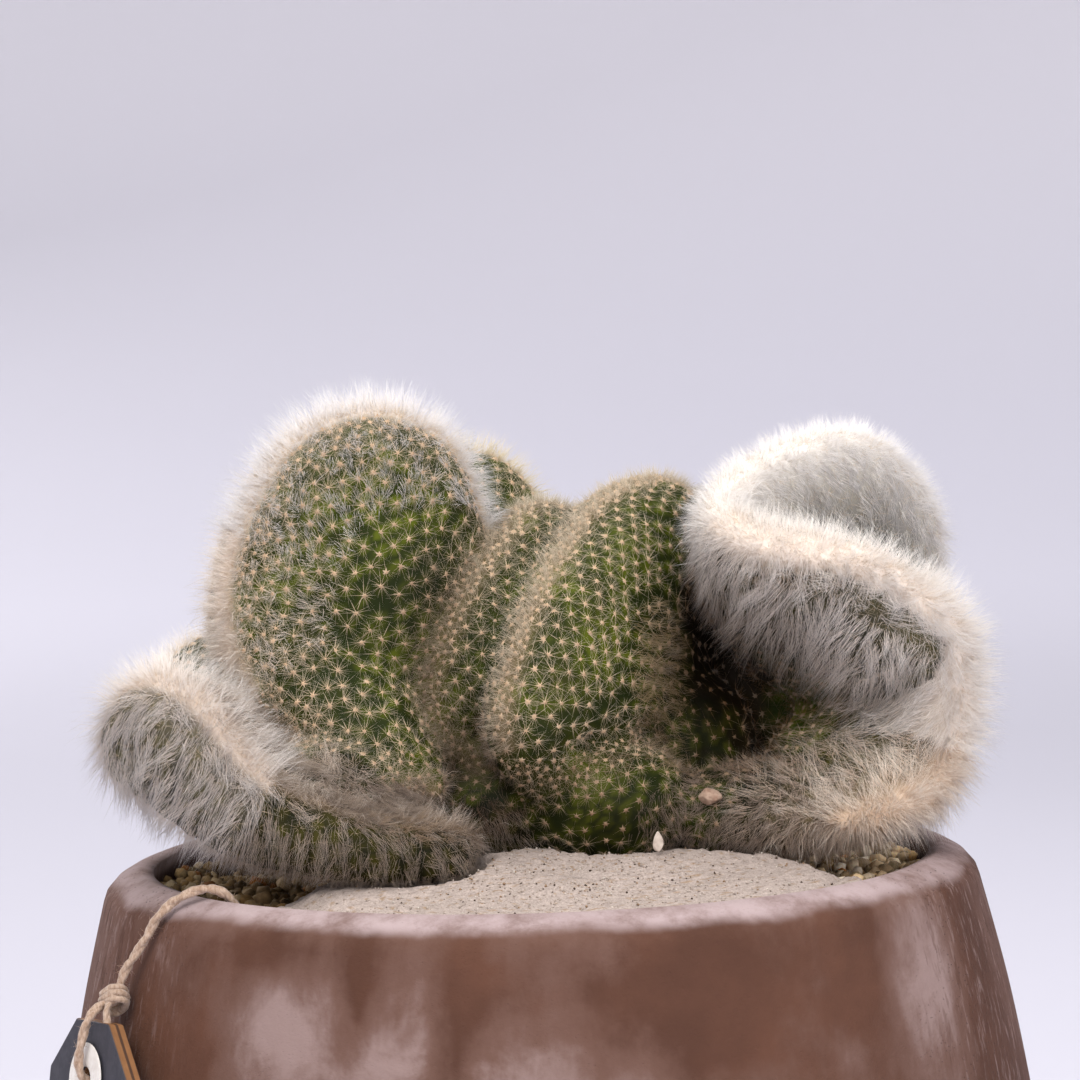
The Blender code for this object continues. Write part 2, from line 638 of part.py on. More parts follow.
def tag_and_twine(parts, cutters):
    """The plywood tag with its ring, the twine that holds it and the knot above it."""
    frame = tag_frame()
    tag = primitive("hang_tag", parts, bmesh.ops.create_cone, frame, cap_ends=True, segments=8,
                    radius1=TAG_ACROSS / 2 / math.cos(math.pi / 8) * MM,
                    radius2=TAG_ACROSS / 2 / math.cos(math.pi / 8) * MM, depth=TAG_THICK * MM)
    tag.data.transform(Matrix.Rotation(math.pi / 8, 4, "Z"))
    hole_at = Matrix.Translation(Vector((0, TAG_HOLE_V, 0)) * MM)
    hole = primitive("tag_hole", cutters, bmesh.ops.create_cone, frame @ hole_at, cap_ends=True,
                     segments=20, radius1=TAG_HOLE_R * MM, radius2=TAG_HOLE_R * MM, depth=8 * MM)
    boolean(tag, guide(hole), "DIFFERENCE")
    paint(tag, "painted_plywood", (0.045, 0.05, 0.07), 0.6)
    flat = EYELET_THICK / 2
    ring = screw("tag_eyelet", [(TAG_HOLE_R, flat), (EYELET_R, flat), (EYELET_R, -flat),
                                (TAG_HOLE_R, -flat)], parts, steps=24)
    settle(ring)
    ring.matrix_world = frame @ Matrix.Translation(
        Vector((0, TAG_HOLE_V, TAG_THICK / 2 + GAP + flat)) * MM)
    paint(ring, "white_ring", (0.75, 0.72, 0.68), 0.6)
    twine = twine_curve("twine", TWINE_D, parts)
    paint(twine, "jute", (0.46, 0.33, 0.20), 0.95)
    knot = primitive("twine_knot", parts, bmesh.ops.create_uvsphere,
                     frame @ Matrix.Translation(Vector(KNOT_AT) * MM),
                     u_segments=16, v_segments=10, radius=1 * MM)
    knot.data.transform(Matrix.Diagonal((*KNOT_AXES, 1)))
    guide(twine_curve("knot_bore", TWINE_D + 2 * GAP + 0.05, cutters))
    curve = bpy.data.objects["knot_bore"]
    depsgraph = bpy.context.evaluated_depsgraph_get()
    mesh = bpy.data.meshes.new_from_object(curve.evaluated_get(depsgraph))
    bm = bmesh.new()
    bm.from_mesh(mesh)
    bmesh.ops.remove_doubles(bm, verts=bm.verts, dist=1e-7)
    bm.to_mesh(mesh)
    bm.free()
    bore = link(bpy.data.objects.new("knot_bore_mesh", mesh), cutters)
    bore.matrix_world = curve.matrix_world
    bpy.data.objects.remove(curve)
    boolean(knot, guide(bore), "DIFFERENCE")
    keep_largest_shell(knot)
    paint(knot, "jute_knot", (0.44, 0.31, 0.19), 0.95)


def paint(obj, name, colour, roughness):
    """Give a piece its own material."""
    mat = bpy.data.materials.new(name)
    mat.use_nodes = True
    shader = mat.node_tree.nodes["Principled BSDF"]
    shader.inputs["Base Color"].default_value = (*colour, 1)
    shader.inputs["Roughness"].default_value = roughness
    shader.inputs["Metallic"].default_value = 0.0
    obj.data.materials.clear()
    obj.data.materials.append(mat)


def main():
    """Build every piece."""
    for obj in list(bpy.data.objects):
        bpy.data.objects.remove(obj)
    parts = bpy.data.collections.new("potted_crested_silver_torch_cactus")
    cutters = bpy.data.collections.new("cutters")
    bpy.context.scene.collection.children.link(parts)
    bpy.context.scene.collection.children.link(cutters)

    # The plant: crest, stump and bristles in one piece
    body = crest_body(parts)
    boolean(body, ellipse_post("stump", 0.0, *STUMP_Z, cutters), "UNION")
    keep_largest_shell(body)
    print("body triangles", len(body.data.polygons))
    skin = tree_of(body)
    needles = link(bristles(body), cutters)
    boolean(body, needles, "UNION")
    keep_largest_shell(body)
    print("plant triangles", len(body.data.polygons))
    paint(body, "cactus_flesh", (0.10, 0.17, 0.04), 0.6)

    # The pot, the soil in it and the grit
    floor_z = POT_INSIDE[0][1]
    pot = screw("pot", POT_OUTSIDE + [(DRAIN_R, 0.0), (DRAIN_R, floor_z)] + POT_INSIDE, parts)
    paint(pot, "terracotta", (0.19, 0.10, 0.065), 0.85)
    mix = screw("potting_mix", [(0.0, MIX_TOP_Z), (inner_radius(MIX_TOP_Z) - GAP, MIX_TOP_Z)]
                + [(r - GAP, z) for r, z in reversed(POT_INSIDE[1:-1])]
                + [(POT_INSIDE[0][0] - 1, floor_z + GAP), (0.0, floor_z + GAP)], parts)
    settle(mix)
    boolean(mix, ellipse_post("mix_hole", GAP + 0.1, STUMP_Z[0] - GAP, 140, cutters), "DIFFERENCE")
    paint(mix, "potting_mix", (0.05, 0.035, 0.025), 0.95)
    grit = screw("grit_bed", [(0.0, GRIT_TOP_Z), (inner_radius(GRIT_TOP_Z) - GAP, GRIT_TOP_Z),
                              (inner_radius(MIX_TOP_Z + GAP) - GAP, MIX_TOP_Z + GAP),
                              (0.0, MIX_TOP_Z + GAP)], parts)
    settle(grit)
    boolean(grit, ellipse_post("grit_hole", GAP + 0.1, 128, 150, cutters), "DIFFERENCE")
    boolean(grit, link(stones(skin, random.Random(SEED + 1)), cutters), "UNION")
    keep_largest_shell(grit)
    paint(grit, "grit", (0.42, 0.33, 0.20), 0.9)
    sand = link(bpy.data.objects.new("sand_mound", sand_mesh(skin)), parts)
    boolean(sand, ellipse_post("sand_hole", GAP + 0.1, 140, 160, cutters), "DIFFERENCE")
    keep_largest_shell(sand)
    paint(sand, "sand", (0.62, 0.55, 0.47), 0.95)

    small_stones(skin, parts)
    tag_and_twine(parts, cutters)
    root = bpy.data.objects.new("plant_origin", None)
    bpy.context.scene.collection.objects.link(root)
    for obj in parts.objects:
        obj.parent = root


main()
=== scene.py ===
"""Looks of a potted crested silver torch cactus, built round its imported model.

Sizes are millimetres in the model's own frame: +Z up, the origin in the middle of the pot's
foot, the photographed side facing -Y. Meshes are metres, and turns are radians.
"""

import logging
import math
from dataclasses import dataclass, field, replace
from enum import Enum

import bmesh
import bpy
import numpy as np
from mathutils import Matrix, Vector, kdtree
from mathutils.bvhtree import BVHTree


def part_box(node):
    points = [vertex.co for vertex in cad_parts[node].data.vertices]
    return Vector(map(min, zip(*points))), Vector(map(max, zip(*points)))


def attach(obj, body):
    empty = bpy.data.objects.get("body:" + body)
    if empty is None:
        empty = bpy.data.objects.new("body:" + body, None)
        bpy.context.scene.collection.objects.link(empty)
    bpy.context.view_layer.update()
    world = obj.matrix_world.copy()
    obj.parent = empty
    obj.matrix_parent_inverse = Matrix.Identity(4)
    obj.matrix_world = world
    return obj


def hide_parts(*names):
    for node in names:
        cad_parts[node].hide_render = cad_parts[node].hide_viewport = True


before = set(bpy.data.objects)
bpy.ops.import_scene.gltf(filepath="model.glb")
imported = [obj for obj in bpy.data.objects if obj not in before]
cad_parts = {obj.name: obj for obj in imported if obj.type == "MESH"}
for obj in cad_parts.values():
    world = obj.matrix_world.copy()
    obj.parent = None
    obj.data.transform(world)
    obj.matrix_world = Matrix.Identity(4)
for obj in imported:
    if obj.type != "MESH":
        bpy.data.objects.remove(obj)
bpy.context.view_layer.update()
LOG = logging.getLogger("potted_cactus")

Array = np.ndarray
Material = bpy.types.Material
Mesh = bpy.types.Mesh
Object = bpy.types.Object
Triple = tuple[float, float, float]

MM = 0.001
SEED = 41
BODY = "root"
UP = np.array((0.0, 0.0, 1.0))

# Levels inside the pot, and the ovals of the sand and the stump
GRIT_TOP_Z = 144.5
GAP = 0.3
SAND_BASE_Z = GRIT_TOP_Z + GAP
SAND_CENTRE = (6.0, -46.0)
SAND_AXES = (60.0, 41.0)
STUMP_CENTRE = (4.0, 4.0)
STUMP_AXES = (33.0, 20.0)
POT_OUTSIDE = (
    (80.6, 149.2), (81.6, 150.0), (84.5, 149.5), (88.5, 147.4), (90.5, 145.2), (91.1, 143.5),
    (96.3, 121.8), (100.4, 98.5), (103.6, 76.0), (105.0, 56.0), (104.0, 41.0), (100.6, 26.0),
    (94.8, 13.0), (88.6, 4.5), (84.5, 1.2), (81.0, 0.0),
)
POT_INSIDE = ((74.0, 11.0), (87.0, 17.0), (94.5, 36.0), (96.0, 58.0), (91.5, 98.0), (84.5, 130.0))


class Slot(Enum):
    """Material slots of the record."""

    FLESH = "cactus_flesh"
    WOOL = "cactus_wool"
    CLAY = "terracotta"
    SAND = "sand"
    GRIT = "grit"
    STONE = "pale_stone"
    JUTE = "jute"
    PLY = "painted_plywood"
    RING = "white_ring"


def unit(v: Array) -> Array:
    """Scale the last axis of an array to length one."""
    return v / np.maximum(np.linalg.norm(v, axis=-1, keepdims=True), 1e-9)


def circle(count: int) -> Array:
    """Even turns all the way round."""
    return np.linspace(0, 2 * math.pi, count, endpoint=False)


def run_along(path: Array) -> Array:
    """Distance from the start at each point of a path."""
    return np.concatenate([[0], np.cumsum(np.linalg.norm(np.diff(path, axis=0), axis=1))])


def across(ways: Array) -> tuple[Array, Array]:
    """Two unit vectors square to each way and to one another."""
    side = unit(np.cross(ways, np.where(np.abs(ways[:, 2:]) < 0.8, UP, np.array((1.0, 0, 0)))))
    return side, np.cross(ways, side)


def spokes(side: Array, other: Array, turns: Array) -> Array:
    """Spokes side cos turn + other sin turn, for each row and each turn."""
    return side[:, None] * np.cos(turns)[None, :, None] + other[:, None] * np.sin(turns)[None, :, None]


def turned(radius: Array, height: Array, turns: Array) -> Array:
    """Rings (radius cos turn, radius sin turn, height) of a profile turned about the Z axis."""
    return np.stack([radius * np.cos(turns), radius * np.sin(turns), height + 0 * turns], axis=-1)


def inside_oval(places: Array, centre: tuple, axes: tuple, extra: float) -> Array:
    """True inside an upright oval post that is wider all round by extra."""
    x, y = ((places[:, k] - centre[k]) / (axes[k] + extra) for k in (0, 1))
    return x * x + y * y < 1


def smooth_route(points: Array, count: int) -> Array:
    """Read points evenly along a Catmull-Rom curve through rows of numbers.

    Args:
        points: rows whose first three numbers are a place; any others ride along.
        count: how many rows to read.

    Returns:
        The rows, evenly spaced by the distance between places.
    """
    p = np.asarray(points, float)
    p = np.vstack([2 * p[0] - p[1], p, 2 * p[-1] - p[-2]])
    n = len(p) - 3
    u = np.linspace(0, n, 60 * n + 1)
    i = np.minimum(u.astype(int), n - 1)
    t = (u - i)[:, None]
    a, b, c, d = p[i], p[i + 1], p[i + 2], p[i + 3]
    fine = 0.5 * (2 * b + (c - a) * t + (2 * a - 5 * b + 4 * c - d) * t ** 2
                  + (3 * b - a - 3 * c + d) * t ** 3)
    run = run_along(fine[:, :3])
    want = np.linspace(0, run[-1], count)
    return np.stack([np.interp(want, run, column) for column in fine.T], axis=1)


def tree_of(rows: list) -> kdtree.KDTree:
    """Search tree of places, each found by its row number.

    Args:
        rows: the places.

    Returns:
        The tree.
    """
    tree = kdtree.KDTree(len(rows))
    for i, place in enumerate(rows):
        tree.insert(place, i)
    tree.balance()
    return tree


def nearest(points: Array, targets: Array) -> tuple[Array, Array]:
    """Index and distance of the nearest target of each point.

    Args:
        points: where to look from.
        targets: what to look for.

    Returns:
        A row for each point.
    """
    tree = tree_of(targets.tolist())
    found = [tree.find(place)[1:] for place in points.tolist()]
    return np.array([i for i, _ in found]), np.array([far for _, far in found])


def put_mesh(name: str, verts: Array, faces: list[Array], smooth: bool = True) -> Mesh:
    """Put whole arrays into a mesh.

    Args:
        name: name of the mesh.
        verts: places in mm, one row each.
        faces: arrays of vertex numbers, each with one row per face.
        smooth: shade the faces smoothly.

    Returns:
        The mesh, in metres.
    """
    mesh = bpy.data.meshes.new(name)
    mesh.vertices.add(len(verts))
    mesh.vertices.foreach_set("co", (np.asarray(verts) * MM).astype(np.float32).ravel())
    sizes = np.concatenate([np.full(len(f), f.shape[1]) for f in faces])
    corners = np.concatenate([f.ravel() for f in faces]).astype(np.int32)
    mesh.loops.add(len(corners))
    mesh.loops.foreach_set("vertex_index", corners)
    mesh.polygons.add(len(sizes))
    mesh.polygons.foreach_set("loop_start", (np.cumsum(sizes) - sizes).astype(np.int32))
    mesh.update(calc_edges=True)
    mesh.validate()
    mesh.polygons.foreach_set("use_smooth", np.full(len(sizes), smooth))
    return mesh


def outward(mesh: Mesh) -> Mesh:
    """Turn every face of a closed mesh outwards.

    Args:
        mesh: the mesh, changed in place.

    Returns:
        The same mesh.
    """
    bm = bmesh.new()
    bm.from_mesh(mesh)
    bmesh.ops.recalc_face_normals(bm, faces=bm.faces)
    bm.to_mesh(mesh)
    bm.free()
    return mesh


def link(name: str, data: bpy.types.ID) -> Object:
    """Put an object with some data into the scene.

    Args:
        name: its name.
        data: its data.

    Returns:
        The object.
    """
    obj = bpy.data.objects.new(name, data)
    bpy.context.scene.collection.objects.link(obj)
    return obj


def grid_faces(rows: int, around: int, loop_rows: bool = False) -> Array:
    """Quads of a grid that closes round its second index.

    Args:
        rows: rows of the grid.
        around: points of a row.
        loop_rows: close it round its first index too.

    Returns:
        The quads.
    """
    i = np.arange(rows if loop_rows else rows - 1)[:, None]
    j = np.arange(around)[None]
    i2, j2 = (i + 1) % rows, (j + 1) % around
    quads = np.stack([i * around + j, i * around + j2, i2 * around + j2, i2 * around + j], axis=-1)
    return quads.reshape(-1, 4)


def closed_shell(rings: Array, pole_a: Array, pole_b: Array) -> tuple[Array, Array, Array]:
    """Close a stack of rings with a point at each end.

    Args:
        rings: array of rings by points by three.
        pole_a: the point before the first ring.
        pole_b: the point after the last ring.

    Returns:
        The vertices, the quads and the triangles.
    """
    rows, around = rings.shape[:2]
    j = np.arange(around)
    k = (j + 1) % around
    a = np.full(around, rows * around)
    last = (rows - 1) * around
    tris = np.vstack([np.stack([a, k, j], 1), np.stack([a + 1, last + j, last + k], 1)])
    return np.vstack([rings.reshape(-1, 3), pole_a, pole_b]), grid_faces(rows, around), tris


def joined(*parts: tuple) -> tuple[Array, Array, Array]:
    """Several shells as one.

    Args:
        parts: the vertices of each shell, then its quads and its triangles, or its triangles.

    Returns:
        The vertices, the quads and the triangles, numbered through.
    """
    starts = np.cumsum([0] + [len(part[0]) for part in parts])
    quads = [part[1] + start for part, start in zip(parts, starts) if len(part) == 3]
    tris = [part[-1] + start for part, start in zip(parts, starts)]
    return np.vstack([part[0] for part in parts]), np.vstack(quads), np.vstack(tris)


def copies(verts: Array, cell: tuple | Array) -> tuple[Array, Array]:
    """Many like shapes as one: things by corners by three, and the triangles of one thing."""
    first = np.arange(len(verts)) * verts.shape[1]
    return verts.reshape(-1, 3), (first[:, None, None] + np.array(cell)[None]).reshape(-1, 3)


def add_piece(name: str, shape: tuple, material: Material, slot: Slot, *nodes: str, turn_out: bool = True,
              smooth: bool = True, **layers: Array) -> Object:
    """Make a finished piece, ride it on the plant and hide the CAD nodes it stands for.

    Args:
        name: name of the piece.
        shape: its vertices in mm, then its arrays of faces.
        material: its finish.
        slot: the record's material slot; not used.
        nodes: CAD nodes that it replaces.
        turn_out: turn its faces outwards first.
        smooth: shade the faces smoothly.
        layers: numbers or linear colours to store at each vertex, by name.

    Returns:
        The piece's object.
    """
    mesh = put_mesh(name, shape[0], list(shape[1:]), smooth)
    if turn_out:
        outward(mesh)
    for key, numbers in layers.items():
        if np.ndim(numbers) == 2:
            rgba = np.ones((len(numbers), 4), np.float32)
            rgba[:, :3] = numbers
            mesh.color_attributes.new(key, "FLOAT_COLOR", "POINT").data.foreach_set("color", rgba.ravel())
        else:
            layer = mesh.attributes.new(key, "FLOAT", "POINT")
            layer.data.foreach_set("value", np.asarray(numbers, np.float32))
    mesh.materials.append(material)
    obj = link(name, mesh)
    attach(obj, BODY)
    if nodes:
        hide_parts(*nodes)
    LOG.info("%s: %d faces", name, len(mesh.polygons))
    return obj


# Finishes


class Recipe:
    """A Principled material whose nodes are added one at a time."""

    def __init__(self, name: str, roughness: float, specular: float = 0.5, **sockets: float) -> None:
        """Start a material.

        Args:
            name: name of the material.
            roughness: roughness all over the surface.
            specular: specular level all over the surface.
            sockets: other constant values by socket name, with _ for each space.
        """
        self.material = bpy.data.materials.new(name)
        self.material.use_nodes = True
        self.tree = self.material.node_tree
        self.shader = self.tree.nodes["Principled BSDF"]
        self.coords = self.node("TexCoord", {}, "Object")
        self.feed(self.shader.inputs["Roughness"], roughness)
        self.feed(self.shader.inputs["Specular IOR Level"], specular)
        for key, number in sockets.items():
            self.feed(self.shader.inputs[key.replace("_", " ")], number)

    def feed(self, socket: bpy.types.NodeSocket, source: object) -> None:
        """Link a socket to a source, or set it where the source is a plain value.

        Args:
            socket: the socket.
            source: another socket, or a value.
        """
        if isinstance(source, bpy.types.NodeSocket):
            self.tree.links.new(source, socket)
        else:
            socket.default_value = (*source, 1.0) if socket.type == "RGBA" else source

    def node(self, kind: str, inputs: dict, output: str | int = 0, **choices: object) -> bpy.types.NodeSocket:
        """Add a node.

        Args:
            kind: its type, without the first word.
            inputs: sources or values of its sockets.
            output: the output wanted.
            choices: its other settings.

        Returns:
            The output.
        """
        node = self.tree.nodes.new("ShaderNode" + kind)
        for key, choice in choices.items():
            setattr(node, key, choice)
        for key, source in inputs.items():
            self.feed(node.inputs[key], source)
        return node.outputs[output]

    def stretched(self, stretch: tuple, shift: tuple = (0, 0, 0)) -> bpy.types.NodeSocket:
        """Object coordinates, scaled by axis."""
        return self.node("Mapping", {"Vector": self.coords, "Scale": stretch, "Location": shift}, "Vector")

    def noise(self, scale: float, detail: float = 3.0, roughness: float = 0.5, stretch: tuple = (1, 1, 1),
              shift: tuple = (0, 0, 0), distortion: float = 0.0) -> bpy.types.NodeSocket:
        """Noise in object space; scale is in turns a metre.

        Args:
            scale: turns a metre.
            detail: octaves.
            roughness: share of the fine octaves.
            stretch: scale by axis.
            shift: where it starts.
            distortion: how far it swirls.

        Returns:
            Its grey level.
        """
        inputs = {"Vector": self.stretched(stretch, shift), "Scale": scale, "Detail": detail,
                  "Roughness": roughness, "Distortion": distortion}
        return self.node("TexNoise", inputs, "Fac")

    def cells(self, scale: float, stretch: tuple = (1, 1, 1)) -> bpy.types.NodeSocket:
        """Distance from the middles of random cells in object space."""
        return self.node("TexVoronoi", {"Vector": self.stretched(stretch), "Scale": scale}, "Distance")

    def ramp(self, source: object, *stops: tuple, smooth: bool = True) -> bpy.types.NodeSocket:
        """Colour ramp.

        Args:
            source: where along the ramp to read.
            stops: (place, linear colour or grey level) of each stop.
            smooth: ease between the stops.

        Returns:
            The ramp's colour.
        """
        output = self.node("ValToRGB", {"Fac": source}, "Color")
        ramp = output.node.color_ramp
        ramp.interpolation = "EASE" if smooth else "LINEAR"
        while len(ramp.elements) < len(stops):
            ramp.elements.new(0.5)
        for element, (place, colour) in zip(ramp.elements, stops):
            element.position = place
            element.color = (*colour, 1) if isinstance(colour, tuple) else (colour, colour, colour, 1)
        return output

    def mix(self, factor: object, a: object, b: object, blend: str = "MIX") -> bpy.types.NodeSocket:
        """Mix two colours by a factor."""
        return self.node("Mix", {0: factor, 6: a, 7: b}, 2, data_type="RGBA", blend_type=blend)

    def tinted(self, a: object, b: object) -> bpy.types.NodeSocket:
        """One colour times another."""
        return self.mix(1.0, a, b, "MULTIPLY")

    def maths(self, operation: str, a: object, b: object, clamp: bool = False) -> bpy.types.NodeSocket:
        """One step of arithmetic on numbers."""
        return self.node("Math", {0: a, 1: b}, operation=operation, use_clamp=clamp)

    def plus(self, a: object, b: object) -> bpy.types.NodeSocket:
        """Sum of two numbers."""
        return self.maths("ADD", a, b)

    def times(self, a: object, b: object) -> bpy.types.NodeSocket:
        """Product of two numbers."""
        return self.maths("MULTIPLY", a, b)

    def height(self) -> bpy.types.NodeSocket:
        """The Z of object space, in metres."""
        return self.node("SeparateXYZ", {0: self.coords}, "Z")

    def attribute(self, name: str, output: str = "Fac") -> bpy.types.NodeSocket:
        """A value or a colour stored in the mesh."""
        return self.node("Attribute", {}, output, attribute_name=name)

    def colour(self, source: object) -> "Recipe":
        """Set the base colour."""
        self.feed(self.shader.inputs["Base Color"], source)
        return self

    def rough(self, source: object) -> "Recipe":
        """Set the roughness from a pattern."""
        self.feed(self.shader.inputs["Roughness"], source)
        return self

    def bump(self, *layers: tuple[object, float]) -> Material:
        """Add bumps, each a (height source, depth in mm) pair, one on the other, and finish.

        Returns:
            The material.
        """
        normal = {}
        for source, depth in layers:
            inputs = {"Distance": depth * MM, "Height": source, **normal}
            normal = {"Normal": self.node("Bump", inputs, "Normal")}
        self.feed(self.shader.inputs["Normal"], normal["Normal"])
        return self.material


@dataclass(frozen=True)
class FleshFinish:
    """Green skin of the crest, cream under the wool, with painted shade in the folds,
    between the knobs and under the fleece, and one painted bright patch.
    """

    dark: Triple = (0.030, 0.036, 0.003)
    bright: Triple = (0.088, 0.110, 0.005)
    # painted shade: darker green in the hollows between the knobs
    painted_groove_shade: Triple = (0.011, 0.018, 0.002)
    corky: Triple = (0.055, 0.045, 0.014)
    # painted shade: darker, browner green under the long fleece
    veiled: Triple = (0.60, 0.44, 0.60)
    # painted shade: near-black brown in deep folds where little sky is open
    foot: Triple = (0.016, 0.009, 0.004)

    def material(self) -> Material:
        """Make the material: green with painted shade between the knobs, corky patches, painted shade
        under the fleece and in deep folds, then wool, then the painted shade and light of the SHADES rows.

        Returns:
            The material.
        """
        r = Recipe("cactus_flesh_skin", 0.6, 0.12)
        green = r.mix(r.ramp(r.noise(60, 4, 0.6), (0.40, 0.0), (0.66, 1.0)), self.dark, self.bright)
        # Painted shade: the skin away from each knob turns darker green
        green = r.mix(r.ramp(r.attribute("knob"), (0.05, 0.9), (0.60, 0.0)), green, self.painted_groove_shade)
        cork = r.ramp(r.noise(30, 3, 0.6, shift=(0.3, 0.1, 0.7)), (0.55, 0.0), (0.75, 0.5))
        green = r.mix(cork, green, self.corky)
        # Painted shade: under the long fleece the green is multiplied darker and browner
        green = r.mix(r.attribute("old"), green, self.veiled, "MULTIPLY")
        # Painted shade: deep folds go near-black brown, by the foot value
        green = r.mix(r.ramp(r.attribute("foot"), (0.1, 0.0), (0.8, 0.95)), green, self.foot)
        edge = r.ramp(r.attribute("wool"), (0.12, 0.0), (0.80, 1.0))
        skin = r.mix(edge, green, r.attribute("coat", "Color"))
        # Painted shade and light of the SHADES rows, multiplied over the whole skin
        r.colour(r.tinted(skin, r.attribute("shade", "Color")))
        return r.bump((r.noise(900, 3, 0.6), 0.12), (r.noise(2600, 2, 0.5), 0.05))


@dataclass(frozen=True)
class BristleFinish:
    """Glassy bristle and wool, coloured from root to tip by the mesh."""

    roughness: float = 0.55

    def material(self) -> Material:
        """Make the material.

        Returns:
            The material.
        """
        r = Recipe("bristle_wool", self.roughness, 0.35, Sheen_Weight=0.15, Sheen_Roughness=0.4)
        speck = r.ramp(r.noise(700, 2, 0.5), (0.3, 0.93), (0.6, 1.0))
        return r.colour(r.tinted(r.attribute("tint", "Color"), speck)).material


@dataclass(frozen=True)
class ClayFinish:
    """Brown clay under a pale lime wash that has run down the wall, thicker round the rim."""

    clay: Triple = (0.112, 0.047, 0.027)
    clay_deep: Triple = (0.074, 0.030, 0.017)
    wash: Triple = (0.138, 0.074, 0.055)
    wash_thick: Triple = (0.290, 0.205, 0.185)
    rim: Triple = (0.410, 0.320, 0.315)
    pit: Triple = (0.05, 0.028, 0.022)
    rim_from: float = 0.1475

    def material(self) -> Material:
        """Make the material: clay, wash, scratches at the worn sides, the rim's band, pits.

        Returns:
            The material.
        """
        r = Recipe("washed_clay", 0.86, 0.25)
        worn = r.attribute("worn")
        base = r.mix(r.ramp(r.noise(22, 5, 0.6), (0.35, 0.0), (0.68, 1.0)), self.clay_deep, self.clay)
        clouds = r.noise(30, 5, 0.58, stretch=(1.0, 1.0, 0.8), distortion=0.3)
        mottle = r.noise(120, 5, 0.65, stretch=(1.0, 1.0, 0.7), shift=(0.2, 0.5, 0.0))
        runs = r.noise(95, 4, 0.6, stretch=(1.0, 1.0, 0.1), shift=(0.4, 0.1, 0.0))
        broken = r.noise(52, 5, 0.7, shift=(0.6, 0.2, 0.8), distortion=0.7)
        veil = r.plus(r.times(clouds, 0.80), r.times(mottle, 0.35))
        veil = r.plus(veil, r.times(r.maths("SUBTRACT", runs, 0.5), 0.34))
        veil = r.plus(veil, r.times(r.attribute("wash"), r.times(broken, 2.2)))
        body = r.mix(r.ramp(veil, (0.42, 0.0), (0.72, 1.0)), base, self.wash)
        body = r.mix(r.ramp(veil, (0.66, 0.0), (0.98, 0.9)), body, self.wash_thick)
        scratch = r.ramp(r.noise(620, 4, 0.7, stretch=(1, 1, 0.04)), (0.52, 0.0), (0.68, 0.6))
        body = r.mix(r.times(scratch, worn), body, self.wash_thick)
        line = r.noise(420, 3, 0.6, stretch=(1, 1, 0.03), shift=(0.1, 0.9, 0.3))
        body = r.mix(r.times(r.ramp(line, (0.55, 0.0), (0.66, 0.8)), worn), body, self.clay_deep)
        edge = r.plus(r.height(), r.times(r.noise(70, 3, 0.5), 0.0036))
        band = r.maths("MULTIPLY", r.maths("SUBTRACT", edge, self.rim_from), 300.0, clamp=True)
        rim = r.mix(r.ramp(r.noise(75, 6, 0.7), (0.40, 0.0), (0.72, 0.75)), self.rim, self.wash)
        rim = r.mix(r.times(worn, 0.28), rim, self.wash)
        skin = r.mix(r.ramp(band, (0.05, 0.0), (0.85, 1.0)), body, rim)
        pits = r.ramp(r.cells(760, stretch=(1, 1, 1.9)), (0.07, 0.85), (0.20, 0.0))
        some = r.ramp(r.noise(95, 4, 0.65, shift=(0.9, 0.4, 0.2)), (0.40, 0.0), (0.55, 1.0))
        pitted = r.times(pits, r.times(some, r.plus(worn, 0.12)))
        r.colour(r.mix(pitted, skin, self.pit))
        r.rough(r.ramp(veil, (0.4, 0.78), (0.9, 0.95)))
        return r.bump((r.noise(240, 5, 0.65), 0.35), (r.maths("SUBTRACT", 1.0, pitted), 0.45),
                      (r.noise(1500, 3, 0.6), 0.10))


@dataclass(frozen=True)
class GrainFinish:
    """Loose mineral grains tinted one by one in the mesh, with a fine speckle on each."""

    name: str
    grain: float
    speckle: float
    fleck: float
    depth: float
    dark: Triple = (0.075, 0.045, 0.03)

    def material(self) -> Material:
        """Make the material.

        Returns:
            The material.
        """
        r = Recipe(self.name, 0.9, 0.25)
        speckle = r.ramp(r.noise(self.grain, 3, 0.7), (0.3, 1.0 - self.speckle), (0.7, 1.0))
        colour = r.tinted(r.attribute("tint", "Color"), speckle)
        dots = r.ramp(r.cells(self.grain * 0.35), (0.10, self.fleck), (0.17, 0.0))
        few = r.ramp(r.noise(260, 3, 0.6), (0.46, 0.0), (0.56, 1.0))
        r.colour(r.mix(r.times(dots, few), colour, self.dark))
        return r.bump((r.noise(self.grain * 0.6, 3, 0.7), self.depth),
                      (r.noise(self.grain * 1.8, 2, 0.5), self.depth / 3))


@dataclass(frozen=True)
class JuteFinish:
    """Two-ply twine of natural fibre."""

    pale: Triple = (0.55, 0.41, 0.31)
    deep: Triple = (0.34, 0.22, 0.145)

    def material(self, name: str) -> Material:
        """Make the material.

        Args:
            name: its name.

        Returns:
            The material.
        """
        r = Recipe(name, 0.92, 0.2, Sheen_Weight=0.3)
        fibre = r.noise(1900, 4, 0.65, stretch=(1, 1, 0.35))
        tone = r.mix(r.ramp(fibre, (0.3, 0.0), (0.68, 1.0)), self.deep, self.pale)
        r.colour(r.tinted(tone, r.attribute("tint", "Color")))
        return r.bump((fibre, 0.25), (r.noise(5200, 2, 0.5), 0.08))


